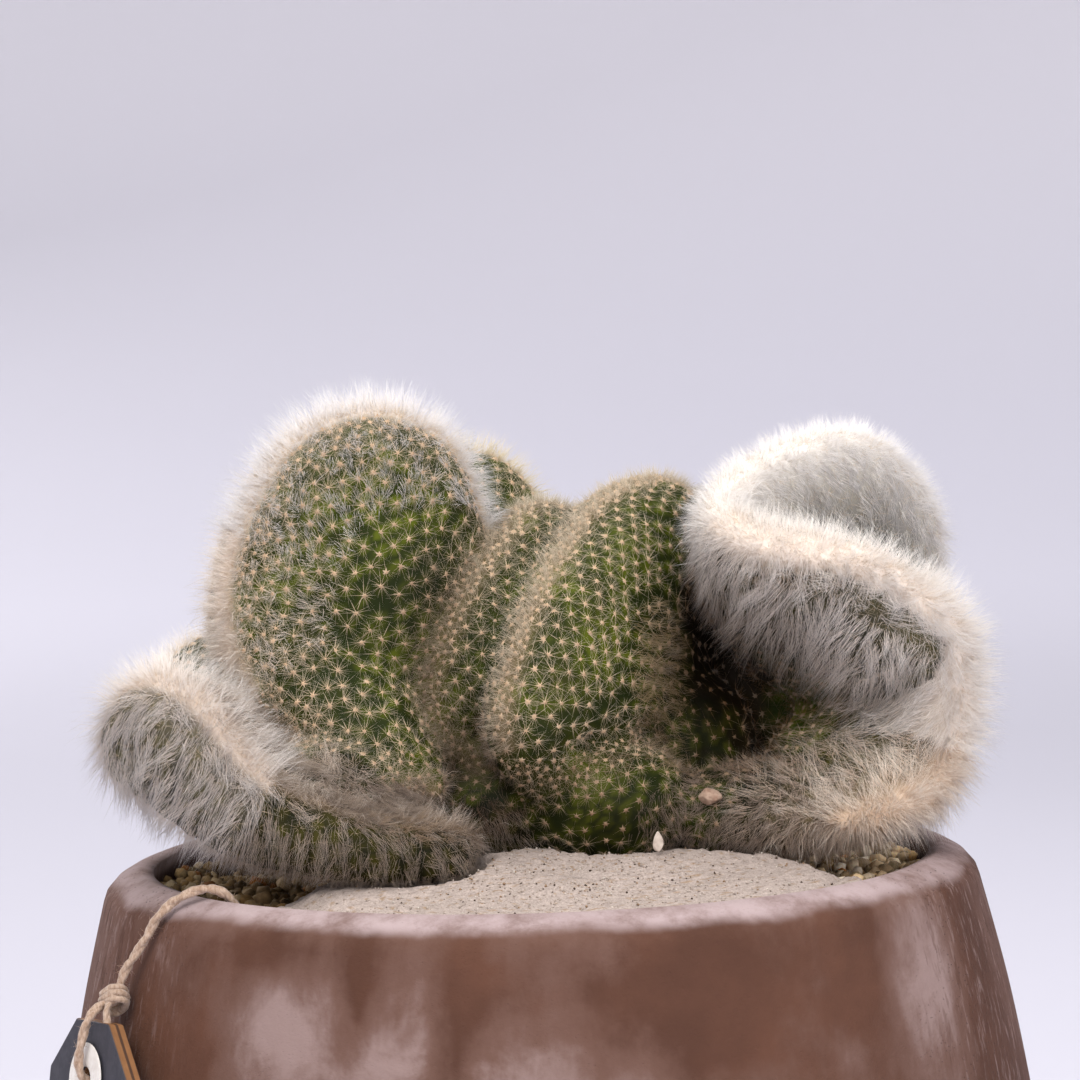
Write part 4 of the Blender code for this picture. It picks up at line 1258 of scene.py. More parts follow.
# Plain swellings at the foot and in the middle: centre and half axes
SWELLINGS = (
    ((-10, -11, 161), (15, 13, 12)), ((14, -15, 162), (17, 15, 13)), ((46, -8, 158), (25, 20, 10)),
    ((-36, -7, 206), (24, 15, 32)), ((-42, -31, 169), (16, 10, 9)), ((2, 10, 172), (44, 24, 22)),
    ((-42, 4, 174), (26, 18, 20)), ((48, 30, 178), (25, 14, 25)), ((-25, 2, 188), (10, 11, 18)),
)
WOOLS = (
    Wool("ear", 0.0, 0.55, breadth=4.6, density=3.8, length=7.6, cover=13.0, reach=26, stream=3.3,
         coat=1.0, under=0.25, crowd=18, root=(0.85, 0.76, 0.68), tip=(0.80, 0.80, 0.82)),
    Wool("ear", 0.55, 0.75, breadth=4.2, density=3.4, length=6.8, hang=0.25, cover=12.0, reach=26, stream=3.3,
         crowd=19, root=(0.80, 0.66, 0.54), tip=(0.97, 0.91, 0.84)),
    Wool("ear", 0.75, 1.0, breadth=3.0, density=2.8, length=5.6, hang=0.45, cover=1.6, reach=8, stream=4,
         coat=0.5, crowd=12, root=(0.42, 0.30, 0.20), tip=(0.72, 0.60, 0.49)),
    Wool("low_left", 0.0, 0.45, breadth=2.8, density=2.8, length=5.0, hang=0.5, cover=8.0, reach=36,
         stream=7.5, coat=0.5, root=(0.40, 0.28, 0.19), tip=(0.86, 0.78, 0.69)),
    Wool("low_left", 0.45, 1.0, breadth=4.4, density=3.8, length=8.4, hang=0.25, cover=10.0, reach=34,
         stream=8.0, under=0.3, root=(0.74, 0.62, 0.52), tip=(0.86, 0.83, 0.80)),
    Wool("left_fold", breadth=4.0, density=4.2, length=3.6, cover=3.4, reach=13, stream=3.2, coat=0.45, crowd=6,
         root=(0.24, 0.17, 0.10), tip=(0.58, 0.50, 0.37)),
    Wool("middle_fold", 0.0, 0.75, breadth=3.2, density=4.8, length=3.9, cover=2.0, reach=9, stream=3.2,
         coat=0.5, crowd=6, root=(0.30, 0.22, 0.13), tip=(0.66, 0.57, 0.44)),
    Wool("middle_fold", 0.75, 1.0, breadth=2.4, density=2.0, length=3.0, hang=0.3, cover=0.6, reach=6, coat=0.2,
         root=(0.34, 0.22, 0.11), tip=(0.58, 0.45, 0.31)),
    Wool("right_loop", 0.0, 0.50, breadth=6.0, density=4.2, length=5.2, cover=10.0, reach=34,
         stream=5.6, under=0.55, root=(0.95, 0.89, 0.82), tip=(0.96, 0.93, 0.91)),
    Wool("right_loop", 0.50, 0.70, breadth=5.4, density=4.4, length=5.6, hang=0.25, cover=8.0, reach=34,
         stream=8.5, under=0.2, root=(0.90, 0.79, 0.69), tip=(1.0, 0.96, 0.91)),
    Wool("right_loop", 0.70, 0.86, breadth=5.8, density=4.4, length=8.0, hang=0.10, cover=10.0, reach=32,
         stream=8.0, under=0.6, root=(0.99, 0.87, 0.75), tip=(0.98, 0.95, 0.92)),
    Wool("right_loop", 0.86, 1.0, breadth=5.8, density=4.0, length=7.6, hang=0.25, cover=9.0, reach=32,
         stream=7.5, under=0.35, root=(0.72, 0.54, 0.39), tip=(0.98, 0.91, 0.82)),
    Wool("right_brow", breadth=1.0, density=1.0, length=5.0, cover=8.5, reach=32, stream=8.5,
         coat=0.3, under=0.2, root=(0.90, 0.79, 0.69), tip=(1.0, 0.96, 0.91)),
    Wool("back_fan", breadth=4.0, density=4.4, length=6.6, cover=4.0, reach=18, stream=3.4, coat=0.6,
         under=0.25, root=(0.62, 0.50, 0.28), tip=(0.95, 0.85, 0.66)),
    Wool("inner_fold", breadth=3.0, density=3.0, length=4.4, coat=0.6),
    Wool("back_right", breadth=3.8, density=4.0, coat=0.6, length=6.0, cover=2.4, reach=14,
         stream=4.5, tip=(0.95, 0.91, 0.85)),
    Wool("back_left", breadth=3.8, density=4.0, coat=0.6, length=6.2, hang=0.2, cover=2.4, reach=16,
         stream=5, tip=(0.97, 0.93, 0.89)),
    Wool("back_low", breadth=3.8, density=4.0, coat=0.6, length=6.4, hang=0.4, cover=2.6, reach=20, stream=7),
)
PATCHES = (
    Patch((46, -21, 160), (30, 21, 12), 6500, 4.4, (-0.2, -0.2, -0.5), (0.32, 0.22, 0.15), (0.66, 0.55, 0.46)),
    Patch((-61, -33, 183), (10, 12, 9), 1300, 7.0, (0.6, -0.2, -0.7), (0.30, 0.21, 0.14), (0.70, 0.59, 0.49)),
    Patch((-49, -35, 173), (12, 12, 7), 2200, 8.0, (0.6, -0.2, -0.7), (0.24, 0.17, 0.10), (0.66, 0.55, 0.45)),
    Patch((-35, -36, 166), (13, 12, 6), 2000, 7.5, (0.6, -0.2, -0.7), (0.20, 0.13, 0.08), (0.56, 0.45, 0.35)),
    Patch((-27, -39, 163), (20, 9, 6), 1300, 4.4, (0.3, -0.4, -0.5), (0.30, 0.17, 0.09), (0.66, 0.51, 0.35)),
    Patch((-14, -30, 161), (16, 12, 6), 1400, 4.0, (0.2, -0.2, -0.6), (0.20, 0.12, 0.07), (0.46, 0.34, 0.24)),
    Patch((28, -18, 188), (9, 16, 22), 1700, 4.2, (0.3, -0.4, -0.2), (0.30, 0.20, 0.08), (0.52, 0.40, 0.23)),
    Patch((14, -24, 171), (14, 10, 3), 500, 3.0, (0.0, -0.3, -0.6), (0.20, 0.12, 0.06), (0.42, 0.30, 0.18)),
    Patch((54, -32, 209), (24, 8, 4), 1000, 2.6, (0.1, -0.5, -0.3), (0.50, 0.35, 0.22), (0.78, 0.66, 0.53)),
)
# Painted shade in the folds; the row with a loss below nought is a painted bright patch of flesh
SHADES = (
    Shade((38, -4, 184), (15, 26, 25), 0.92), Shade((15, -28, 160), (16, 16, 10), 0.66),
    Shade((-9, -28, 163), (13, 16, 11), 0.66), Shade((-14, -24, 172), (9, 12, 6), 0.50),
    Shade((-21, -14, 200), (8, 14, 16), 0.60), Shade((-36, -32, 170), (18, 10, 8), 0.30),
    Shade((36, -30, 156), (9, 14, 8), 0.35), Shade((-30, -46, 157), (24, 12, 9), 0.40),
    Shade((54, 6, 177), (11, 17, 9), -2.0),
)


@dataclass
class Spots(Rows):
    """Places on the skin: their normals, and the distance, row in WOOLS and way of the nearest ridge."""

    places: Array
    normals: Array
    ridge: Array
    style: Array
    toward: Array

    def coat(self, *keys: str) -> list[Array]:
        """Values of the coat that grows at each place."""
        return [np.array([getattr(wool, key) for wool in WOOLS])[self.style] for key in keys]

    def veiled(self) -> Array:
        """True where long fleece hides the areoles."""
        cover, reach, stream = self.coat("cover", "reach", "stream")
        return (cover > 4.5) & (stream > 5) & (self.ridge < reach * 0.85)



def painted_light_shade_left(places: Array) -> Array:
    """Share of each colour left after the painted shade and light of SHADES: the product over the shades of 1 -
    loss exp(-distance^2).

    Args:
        places: where to read it.

    Returns:
        Three shares for each place.
    """
    left = np.ones((len(places), 3))
    for row in SHADES:
        near = np.exp(-(((places - row.centre) / row.axes) ** 2).sum(axis=1))
        left *= 1 - np.clip(row.loss * near[:, None] * (0.92, 1.0, 1.08), -2, 0.97)
    return left


@dataclass
class Crest:
    """The folded crest: skin, areoles, bristles, ridge wool, fleece and long hairs."""

    voxel: float = 1.65
    smoothing: int = 5
    stump_z: tuple[float, float] = (112.0, 168.0)
    areole_step: float = 3.5
    areole_gap: float = 2.7
    tries: int = 90000
    fill_gap: float = 2.9
    young_gap: float = 1.6
    knob_height: float = 0.6
    knob_radius: float = 1.35
    lowest_hair: float = 149.5
    spikes_front: int = 23
    spikes_ear: int = 34
    spikes_few: int = 8
    spikes_dark: int = 4
    ridge_hairs: int = 58000
    fleece_hairs: int = 86000
    long_hair_count: int = 4000
    most_hairs: int = 64000
    rays: int = 14
    rng: np.random.Generator = field(default_factory=lambda: np.random.default_rng(SEED))
    quads: Array = field(default=None, repr=False)
    ridges: tuple = field(default=None, repr=False)
    skin: Spots = field(default=None, repr=False)
    open_skin: Array = field(default=None, repr=False)

    def rough_solid(self) -> Mesh:
        """All lobes, swellings and the stump as overlapping closed shells.

        A swelling is centre + axes (sin p cos q, sin p sin q, cos p), and the stump is an upright
        oval post.

        Returns:
            The mesh.
        """
        q = circle(32)
        p = np.linspace(0, math.pi, 18)[1:-1, None]
        ball = turned(np.sin(p), np.cos(p), q)
        parts = [lobe.shell() for lobe in LOBES]
        for centre, axes in SWELLINGS:
            poles = centre + UP * axes[2], centre - UP * axes[2]
            parts.append(closed_shell(np.array(centre) + ball * axes, *poles))
        z = np.linspace(*self.stump_z, 12)[:, None]
        post = np.stack([STUMP_CENTRE[0] + STUMP_AXES[0] * np.cos(q) + 0 * z,
                         STUMP_CENTRE[1] + STUMP_AXES[1] * np.sin(q) + 0 * z, z + 0 * q], axis=-1)
        parts.append(closed_shell(post, *(np.array((*STUMP_CENTRE, end)) for end in self.stump_z)))
        verts, *faces = joined(*parts)
        return outward(put_mesh("crest_rough", verts, faces))

    def fuse(self) -> Array:
        """Fuse the shells into one skin of small quads and keep its largest shell.

        Shells are told apart by passing the lowest vertex number round each face until
        nothing changes.

        Returns:
            The skin's vertices.
        """
        obj = link("crest_rough", self.rough_solid())
        remesh = obj.modifiers.new("fuse", "REMESH")
        remesh.mode = "VOXEL"
        remesh.voxel_size = self.voxel * MM
        soften = obj.modifiers.new("soften", "SMOOTH")
        soften.factor = 0.5
        soften.iterations = self.smoothing
        mesh = bpy.data.meshes.new_from_object(obj.evaluated_get(bpy.context.evaluated_depsgraph_get()))
        bpy.data.objects.remove(obj)
        verts = np.empty(len(mesh.vertices) * 3, np.float32)
        mesh.vertices.foreach_get("co", verts)
        quads = np.empty(len(mesh.loops), np.int32)
        mesh.loops.foreach_get("vertex_index", quads)
        bpy.data.meshes.remove(mesh)
        verts, quads = verts.reshape(-1, 3), quads.reshape(-1, 4)
        label, new = None, np.arange(len(verts))
        while not np.array_equal(new, label):
            label, new = new, new.copy()
            np.minimum.at(new, quads, label[quads].min(axis=1)[:, None])
            new = new[new]
        names, sizes = np.unique(label, return_counts=True)
        keep = label == names[np.argmax(sizes)]
        self.quads = (np.cumsum(keep) - 1)[quads[keep[quads[:, 0]]]]
        LOG.info("crest skin: %d vertices", keep.sum())
        return verts[keep].astype(float) / MM

    def corners(self, table: Array) -> tuple[Array, ...]:
        """Rows of a table of vertices at each quad's four corners."""
        return tuple(table[self.quads[:, k]] for k in range(4))

    def vertex_normals(self, verts: Array) -> Array:
        """Normals from the cross products of each quad's diagonals, added up at its corners.

        Args:
            verts: the skin's vertices.

        Returns:
            A normal for each.
        """
        a, b, c, d = self.corners(verts)
        face = np.cross(c - a, d - b)
        total = np.zeros_like(verts)
        for k in range(4):
            for axis in range(3):
                total[:, axis] += np.bincount(self.quads[:, k], face[:, axis], len(verts))
        return unit(total)

    @staticmethod
    def ridge_lines(verts: Array) -> tuple[Array, Array]:
        """Points along the growing edges that lie on the skin.

        Args:
            verts: the skin's vertices.

        Returns:
            The points, and the row in WOOLS of each.
        """
        places, styles = [], []
        for lobe in LOBES:
            count = int(lobe.edge_length() / 1.4)
            share = np.linspace(0, 1, count)
            style = np.zeros(count, int)
            for k, wool in enumerate(WOOLS):
                if wool.lobe == lobe.name:
                    style[(share >= wool.start) & (share <= wool.end)] = k
            places.append(smooth_route(lobe.rows, count)[:, :3])
            styles.append(style)
        edge, style = np.vstack(places), np.concatenate(styles)
        near = nearest(edge, verts)[1] < 2.6
        return edge[near], style[near]

    def spots(self, places: Array, normals: Array) -> Spots:
        """Read the coat at places on the skin, from the nearest ridge.

        Args:
            places: where to read it.
            normals: the skin's normals there.

        Returns:
            The places with their coat.
        """
        index, far = nearest(places, self.ridges[0])
        way = self.ridges[0][index] - places
        way = unit(way - normals * np.einsum("ij,ij->i", way, normals)[:, None])
        return Spots(places, normals, far, self.ridges[1][index], way)

    @staticmethod
    def thin(places: Array, gap: float | Array, taken: Array | None = None) -> Array:
        """Numbers of the places that stay when later ones within gap of earlier ones go.

        Args:
            places: candidates, the most wanted first.
            gap: least distance between two that stay, one for all or one for each.
            taken: places already in use.

        Returns:
            The indices of those that stay.
        """
        gaps = np.full(len(places), gap) if np.isscalar(gap) else gap
        free = np.arange(len(places)) if taken is None else np.flatnonzero(nearest(places, taken)[1] >= gaps)
        rows = places[free].tolist()
        tree = tree_of(rows)
        alive = np.ones(len(rows), bool)
        for i, (place, room) in enumerate(zip(rows, gaps[free].tolist())):
            if alive[i]:
                for _, j, _ in tree.find_range(place, room):
                    if j > i:
                        alive[j] = False
        return free[np.flatnonzero(alive)]

    def scatter(self, count: int, weight: Array) -> Spots:
        """Random places on the skin.

        A quad is drawn by its area times its weight, and the place inside it by two random
        shares u and v between its corners.

        Args:
            count: how many.
            weight: weight of each vertex.

        Returns:
            The places, with their coat.
        """
        a, b, c, d = self.corners(self.skin.places)
        area = np.linalg.norm(np.cross(c - a, d - b), axis=1) / 2
        heap = np.cumsum(area * weight[self.quads].mean(axis=1))
        quad = self.quads[np.searchsorted(heap, self.rng.random(count) * heap[-1])]
        u, v = self.rng.random((2, count, 1))
        p, n = ((1 - u) * (1 - v) * t[quad[:, 0]] + u * (1 - v) * t[quad[:, 1]]
                + u * v * t[quad[:, 2]] + (1 - u) * v * t[quad[:, 3]]
                for t in (self.skin.places, self.skin.normals))
        return self.spots(p, unit(n))

    def bare(self, places: Array) -> Array:
        """True where nothing grows: under the grit's surface and on the stump."""
        return (places[:, 2] < self.lowest_hair) | self.in_stump(places)

    @staticmethod
    def in_stump(places: Array) -> Array:
        """True on the stump below the folds."""
        return inside_oval(places, STUMP_CENTRE, STUMP_AXES, 1.5) & (places[:, 2] < 152)

    def hairy(self, count: int, weight: Array) -> Spots:
        """Random places where hair can grow, by the weight of each vertex."""
        weight[self.bare(self.skin.places)] = 0
        return self.scatter(count, weight)

    def areoles(self) -> Spots:
        """All areoles: files down each lobe but the ear, and fillers that crowd at ridges.

        The room round a filler is young_gap + (fill_gap - young_gap) (ridge / crowd)^2.

        Returns:
            The areoles.
        """
        found, taken = [], None
        for lobe in LOBES[1:]:
            grid = lobe.areole_grid(self.areole_step)
            index, far = nearest(grid, self.skin.places)
            on = far < 2.2
            grid, skin = grid[on], self.skin.part(index[on])
            grid = grid + skin.normals * np.einsum("ij,ij->i", skin.places - grid, skin.normals)[:, None]
            keep = self.thin(grid, self.areole_gap, taken)
            spots = self.spots(grid[keep], skin.normals[keep])
            found.append(spots.part(spots.coat("lobe")[0] != "ear"))
            taken = Spots.joined(found).places
        fill = self.scatter(self.tries, 1 + 2 * np.exp(-(self.skin.ridge / 8) ** 2))
        near = np.clip(fill.ridge / fill.coat("crowd")[0], 0, 1) ** 2
        gap = self.young_gap + (self.fill_gap - self.young_gap) * near
        gap = np.where(fill.normals[:, 1] > 0.3, np.maximum(gap, self.areole_gap), gap)
        spots = Spots.joined(found + [fill.part(self.thin(fill.places, gap, taken))])
        return spots.part(~self.bare(spots.places))

    def openness(self, spots: Spots, limit: float = 45.0) -> Array:
        """Share of the sky over each place that no other fold covers.

        Ray k leaves at the height z_k of a spiral over the place, a golden angle on from the last.

        Args:
            spots: the places.
            limit: how far off a fold still covers the sky.

        Returns:
            A share for each place.
        """
        tree = BVHTree.FromPolygons([Vector(v) for v in self.skin.places.tolist()], self.quads.tolist())
        k = np.arange(self.rays)
        z = 1 - (k + 0.5) / self.rays * 0.93
        turn = k * 2.39996
        flat = np.sqrt(1 - z * z)
        side, other = across(spots.normals)
        rays = (side[:, None] * (flat * np.cos(turn))[None, :, None]
                + other[:, None] * (flat * np.sin(turn))[None, :, None]
                + spots.normals[:, None] * z[None, :, None])
        starts = (spots.places + spots.normals * 1.2).tolist()
        free = [sum(tree.ray_cast(start, ray, limit)[0] is None for ray in fan)
                for start, fan in zip(starts, rays.tolist())]
        return np.array(free) / self.rays

    def dress_skin(self, areoles: Spots, free: Array) -> None:
        """Raise a knob under each areole and store where wool, knobs and deep folds are.

        The knob's height is knob_height exp(-(distance / knob_radius)^2).

        Args:
            areoles: where the knobs are.
            free: how open each areole lies.
        """
        index, far = nearest(self.skin.places, areoles.places)
        knob = np.exp(-(far / self.knob_radius) ** 2)
        breadth, coat, under, reach, root = self.skin.coat("breadth", "coat", "under", "reach", "root")
        wool = np.exp(-(self.skin.ridge / (breadth + 0.8)) ** 2) * coat
        wool = np.maximum(wool, under * np.clip(1.1 - self.skin.ridge / reach, 0, 1))
        verts = self.skin.places + self.skin.normals * (self.knob_height * knob * (1 - 0.5 * wool))[:, None]
        # Painted shade and light of the SHADES rows at each skin vertex
        shade = painted_light_shade_left(self.skin.places)
        # Painted shade: foot is the dark of folds where little sky is open, cleared on the painted bright patch
        foot = np.clip((0.55 - free[index]) / 0.4, 0, 1) * np.clip(2 - shade[:, 1], 0, 1)
        # Painted shade layers go with the skin: foot in deep folds, shade from SHADES, the veil under the
        # fleece
        add_piece("crest_skin", (verts, self.quads), FleshFinish().material(), Slot.FLESH, "crested_cactus",
                  turn_out=False, knob=knob, wool=wool, coat=root, foot=foot, shade=shade,
                  old=self.skin.veiled())

    def felt(self, spots: Spots, light: Array, material: Material) -> None:
        """A fluffy pad on each areole: a star of six points, raised in the middle, its rim in the skin.

        Rim corner k stands at side cos 30k + other sin 30k, far out for even k and near for odd.

        Args:
            spots: the areoles.
            light: share of colour left at each by painted shade and light.
            material: their finish.
        """
        n, rng = len(spots.places), self.rng
        side = unit(np.cross(spots.normals, unit(rng.normal(size=(n, 3)))))
        k = np.arange(12)
        point = k % 2 == 0
        far = np.where(point, rng.uniform(0.65, 1.15, (n, 12)), rng.uniform(0.30, 0.45, (n, 12)))[..., None]
        low = np.where(point, self.knob_height * 0.42, self.knob_height * 0.5)[None, :, None]
        rim = (spots.places[:, None] + spots.normals[:, None] * low
               + far * spokes(side, np.cross(spots.normals, side), np.radians(k * 30)))
        top = spots.places + spots.normals * (self.knob_height + rng.uniform(0.20, 0.45, (n, 1)))
        cell = np.stack([k, (k + 1) % 12, np.full(12, 12)], axis=1)
        # Painted shade: each pad's colour times its share of light left
        tone = rng.uniform(0.85, 1.1, (n, 1, 1)) * light[:, None]
        colours = np.array([(0.60, 0.45, 0.31)] * 12 + [(0.54, 0.35, 0.20)])[None] * tone
        add_piece("areole_felt", copies(np.concatenate([rim, top[:, None]], axis=1), cell), material, Slot.WOOL,
                  turn_out=False, tint=colours.reshape(-1, 3))

    def bristles(self, spots: Spots, free: Array) -> Hairs:
        """Tufts of bristles: most lie nearly flat round the areole, some stand up.

        The way of a bristle is normal cos lean + side sin lean, the sides spread evenly round.

        Args:
            spots: the areoles.
            free: how open each lies.

        Returns:
            The bristles.
        """
        n, rng = len(spots.places), self.rng
        left = painted_light_shade_left(spots.places)[:, 1]
        count = np.where(spots.normals[:, 1] < 0.15, self.spikes_front, self.spikes_few)
        count = np.where((spots.coat("lobe")[0] == "ear") & (spots.normals[:, 1] < 0), self.spikes_ear, count)
        count = np.where(spots.veiled() | (spots.ridge < 2.5), self.spikes_few, count)
        count = np.where((free < 0.2) | (left < 0.45), self.spikes_dark, count)
        own = np.repeat(np.arange(n), count)
        order = np.arange(len(own)) - np.repeat(np.cumsum(count) - count, count)
        turn = 2 * math.pi * (order * 0.382 + rng.uniform(0, 0.1, len(own)))
        stands = order < count[own] * 0.25
        lean = np.where(stands, rng.uniform(5, 45, len(own)), rng.uniform(52, 86, len(own)))
        lean = np.radians(lean)[:, None]
        up, toward = spots.normals[own], spots.toward[own]
        side = toward * np.cos(turn)[:, None] + np.cross(up, toward) * np.sin(turn)[:, None]
        drift = rng.normal(size=(n, 3)) * 0.16
        ways = unit(up * np.cos(lean) + side * np.sin(lean) - UP * 0.10 + drift[own])
        lengths = np.where(stands, rng.uniform(1.0, 3.0, len(own)), rng.uniform(1.8, 4.6, len(own)))
        size = rng.uniform(0.85, 1.15, n) * (0.70 + 0.30 * left)
        roots = spots.places[own] + up * 0.25 + side * rng.uniform(0.1, 0.45, (len(own), 1))
        widths = rng.uniform(0.026, 0.042, len(own))
        tone = rng.uniform(0.84, 1.06, (len(own), 1))
        low, high = (0.66, 0.48, 0.30) * tone, (0.83, 0.74, 0.59) * tone
        return Hairs(roots, ways, lengths * size[own], widths, low, high)

    def clumped(self, hairs: Hairs, gap: float, pull: float) -> Hairs:
        """Bend the tips of neighbouring hairs toward one another, as wool parts into locks.

        Each hair belongs to the nearest of some leading hairs, and its tip moves to
        tip + share (leader's tip + spread - tip).

        Args:
            hairs: the hairs.
            gap: distance between leading hairs.
            pull: the most that a tip moves, as a share of the way.

        Returns:
            The bent hairs.
        """
        lead = self.thin(hairs.roots, gap)
        index = lead[nearest(hairs.roots, hairs.roots[lead])[0]]
        tips = hairs.roots + hairs.ways * hairs.lengths[:, None]
        drift = self.rng.normal(size=tips.shape) * 0.36
        aim = tips[index] + drift[index] * hairs.lengths[index][:, None]
        share = pull * self.rng.uniform(0.4, 1.0, (len(tips), 1))
        return replace(hairs, ways=unit(tips + share * (aim - tips) - hairs.roots))

    def coat_hairs(self, spots: Spots, ways: Array, lengths: Array) -> Hairs:
        """Hairs in the colours of their coat.

        Args:
            spots: their roots.
            ways: which way each grows.
            lengths: their lengths.

        Returns:
            The hairs.
        """
        n = len(lengths)
        tone = self.rng.uniform(0.88, 1.05, (n, 1))
        low, high = (colour * tone for colour in spots.coat("root", "tip"))
        return Hairs(spots.places, ways, lengths, self.rng.uniform(0.032, 0.052, n), low, high)

    def ridge_wool(self) -> Hairs:
        """Dense wool along the ridges, drawn by exp(-(distance / breadth)^2) times the density.

        Returns:
            The hairs.
        """
        count, rng = self.ridge_hairs, self.rng
        breadth, density = self.skin.coat("breadth", "density")
        spots = self.hairy(count, density * np.exp(-(self.skin.ridge / breadth) ** 2))
        breadth, hang, length = spots.coat("breadth", "hang", "length")
        away = np.clip(spots.ridge / breadth, 0, 1.4)[:, None]
        jitter = rng.normal(size=(count, 3)) * 0.26
        ways = unit(spots.normals - spots.toward * away * 0.32 + jitter
                    - UP * hang[:, None] * (0.3 + 0.5 * away))
        return self.clumped(self.coat_hairs(spots, ways, length * rng.uniform(0.45, 1.12, count)), 1.9, 0.55)

    def fleece(self) -> Hairs:
        """Hair that leaves the ridge over the faces beside it, drawn by cover (1.2 - ridge / reach).

        Returns:
            The hairs.
        """
        count, rng = self.fleece_hairs, self.rng
        cover, reach = self.skin.coat("cover", "reach")
        spots = self.hairy(count, cover * np.clip(1.2 - self.skin.ridge / reach, 0, 1)
                           * np.clip(self.open_skin * 4, 0, 1))
        hang, stream = spots.coat("hang", "stream")
        ways = unit(spots.normals * rng.uniform(0.35, 0.9, (count, 1)) - spots.toward * 0.7
                    - UP * (0.30 + hang)[:, None] + rng.normal(size=(count, 3)) * 0.34)
        lengths = stream * rng.uniform(0.45, 1.15, count) * np.clip((spots.places[:, 2] - 144) / 18, 0.3, 1)
        return self.clumped(self.coat_hairs(spots, ways, lengths), 2.6, 0.82)

    def combed(self) -> Hairs:
        """Hair of the patches: drawn inside each ellipsoid by 1 - distance, its way comb + normal.

        Returns:
            The hairs.
        """
        sets, rng = [], self.rng
        for patch in PATCHES:
            n = patch.count
            away = np.linalg.norm((self.skin.places - patch.centre) / patch.axes, axis=1)
            spots = self.hairy(n, np.clip(1 - away, 0, 1) ** 0.7)
            ways = unit(spots.normals * rng.uniform(0.35, 0.9, (n, 1)) + np.array(patch.comb)
                        + rng.normal(size=(n, 3)) * 0.22)
            tone = rng.uniform(0.75, 1.12, (n, 1))
            hairs = Hairs(spots.places, ways, patch.length * rng.uniform(0.5, 1.15, n),
                          rng.uniform(0.032, 0.055, n), patch.root * tone, patch.tip * tone)
            sets.append(self.clumped(hairs, 2.2, 0.8))
        return Hairs.joined(sets)

    def long_hairs(self, material: Material) -> None:
        """Long bent hairs near the woolliest ridges, whose upper halves droop.

        Args:
            material: their finish.
        """
        count, rng = self.long_hair_count, self.rng
        breadth, length = self.skin.coat("breadth", "length")
        spots = self.hairy(count, np.exp(-(self.skin.ridge / (breadth * 1.5)) ** 2)
                           * np.clip(length - 4.4, 0, 3))
        ways = unit(spots.normals - spots.toward * 0.35 + rng.normal(size=(count, 3)) * 0.25)
        length, hang = spots.coat("length", "hang")
        hairs = self.clumped(self.coat_hairs(spots, ways, length * rng.uniform(0.8, 1.25, count)), 3.0, 0.4)
        second = unit(hairs.ways - UP * (0.25 + hang)[:, None] + rng.normal(size=(count, 3)) * 0.25)
        self.hair_piece("long_hairs", hairs.bent(second), material)

    @staticmethod
    def hair_piece(name: str, shape: tuple, material: Material) -> None:
        """Put a set of hairs into the scene as one piece."""
        add_piece(name, shape[:2], material, Slot.WOOL, turn_out=False, tint=np.clip(shape[2], 0, 1))

    def straight_pieces(self, name: str, hairs: Hairs, material: Material) -> None:
        """Make straight hairs in pieces of at most most_hairs, with painted shade: darker and browner
        in closed folds where little sky is open, and darker in the SHADES folds.

        Args:
            name: name of the piece, or the start of the names of several.
            hairs: the hairs.
            material: their finish.
        """
        index, _ = nearest(hairs.roots, self.skin.places)
        # Painted shade: hairs where little sky is open turn darker and browner, and the SHADES rows darken them
        deep = np.clip((0.60 - self.open_skin[index]) / 0.40, 0, 1)[:, None]
        left = (1 - deep + deep * (0.36, 0.23, 0.12)) * np.minimum(painted_light_shade_left(hairs.roots), 1)
        hairs = replace(hairs, low=hairs.low * left, high=hairs.high * left)
        parts = math.ceil(len(index) / self.most_hairs)
        order = np.argsort(hairs.roots[:, 1], kind="stable")
        for k, rows in enumerate(np.array_split(order, parts)):
            self.hair_piece(f"{name}_{k + 1}" if parts > 1 else name, hairs.part(rows).straight(), material)
        LOG.info("%s: %d hairs", name, len(index))

    def build(self) -> None:
        """Make the crest: its skin, then felt, bristles, wool, fleece, combed and long hairs."""
        verts = self.fuse()
        self.ridges = self.ridge_lines(verts)
        self.skin = self.spots(verts, self.vertex_normals(verts))
        spots = self.areoles()
        LOG.info("areoles: %d", len(spots.places))
        free = self.openness(spots)
        self.open_skin = free[nearest(self.skin.places, spots.places)[0]]
        self.dress_skin(spots, free)
        material = BristleFinish().material()
        woolly = (spots.coat("coat")[0] > 0.7) & (spots.ridge < 5)
        plain = (free > 0.12) & (spots.normals[:, 1] < 0.4) & ~woolly & ~spots.veiled()
        padded = spots.part(plain)
        # Painted shade and light on the pads: the SHADES rows, and darker where little sky is open
        light = painted_light_shade_left(padded.places) * np.clip(0.1 + 1.4 * free[plain], 0.2, 1.0)[:, None]
        self.felt(padded, light, material)
        sets = {"bristles": self.bristles(spots, free), "ridge_wool": self.ridge_wool(),
                "fleece": self.fleece(), "combed_hair": self.combed()}
        for name, hairs in sets.items():
            self.straight_pieces(name, hairs, material)
        self.long_hairs(material)


# Pot, soil, grit and sand


@dataclass(frozen=True)
class Wash:
    """A cloud of lime on the wall, or bare clay where amount is below nought.

    Its middle is at an azimuth in degrees and a height in mm, and turn and tall are how far it
    reaches each way.
    """

    azimuth: float
    height: float
    turn: float
    tall: float
    amount: float


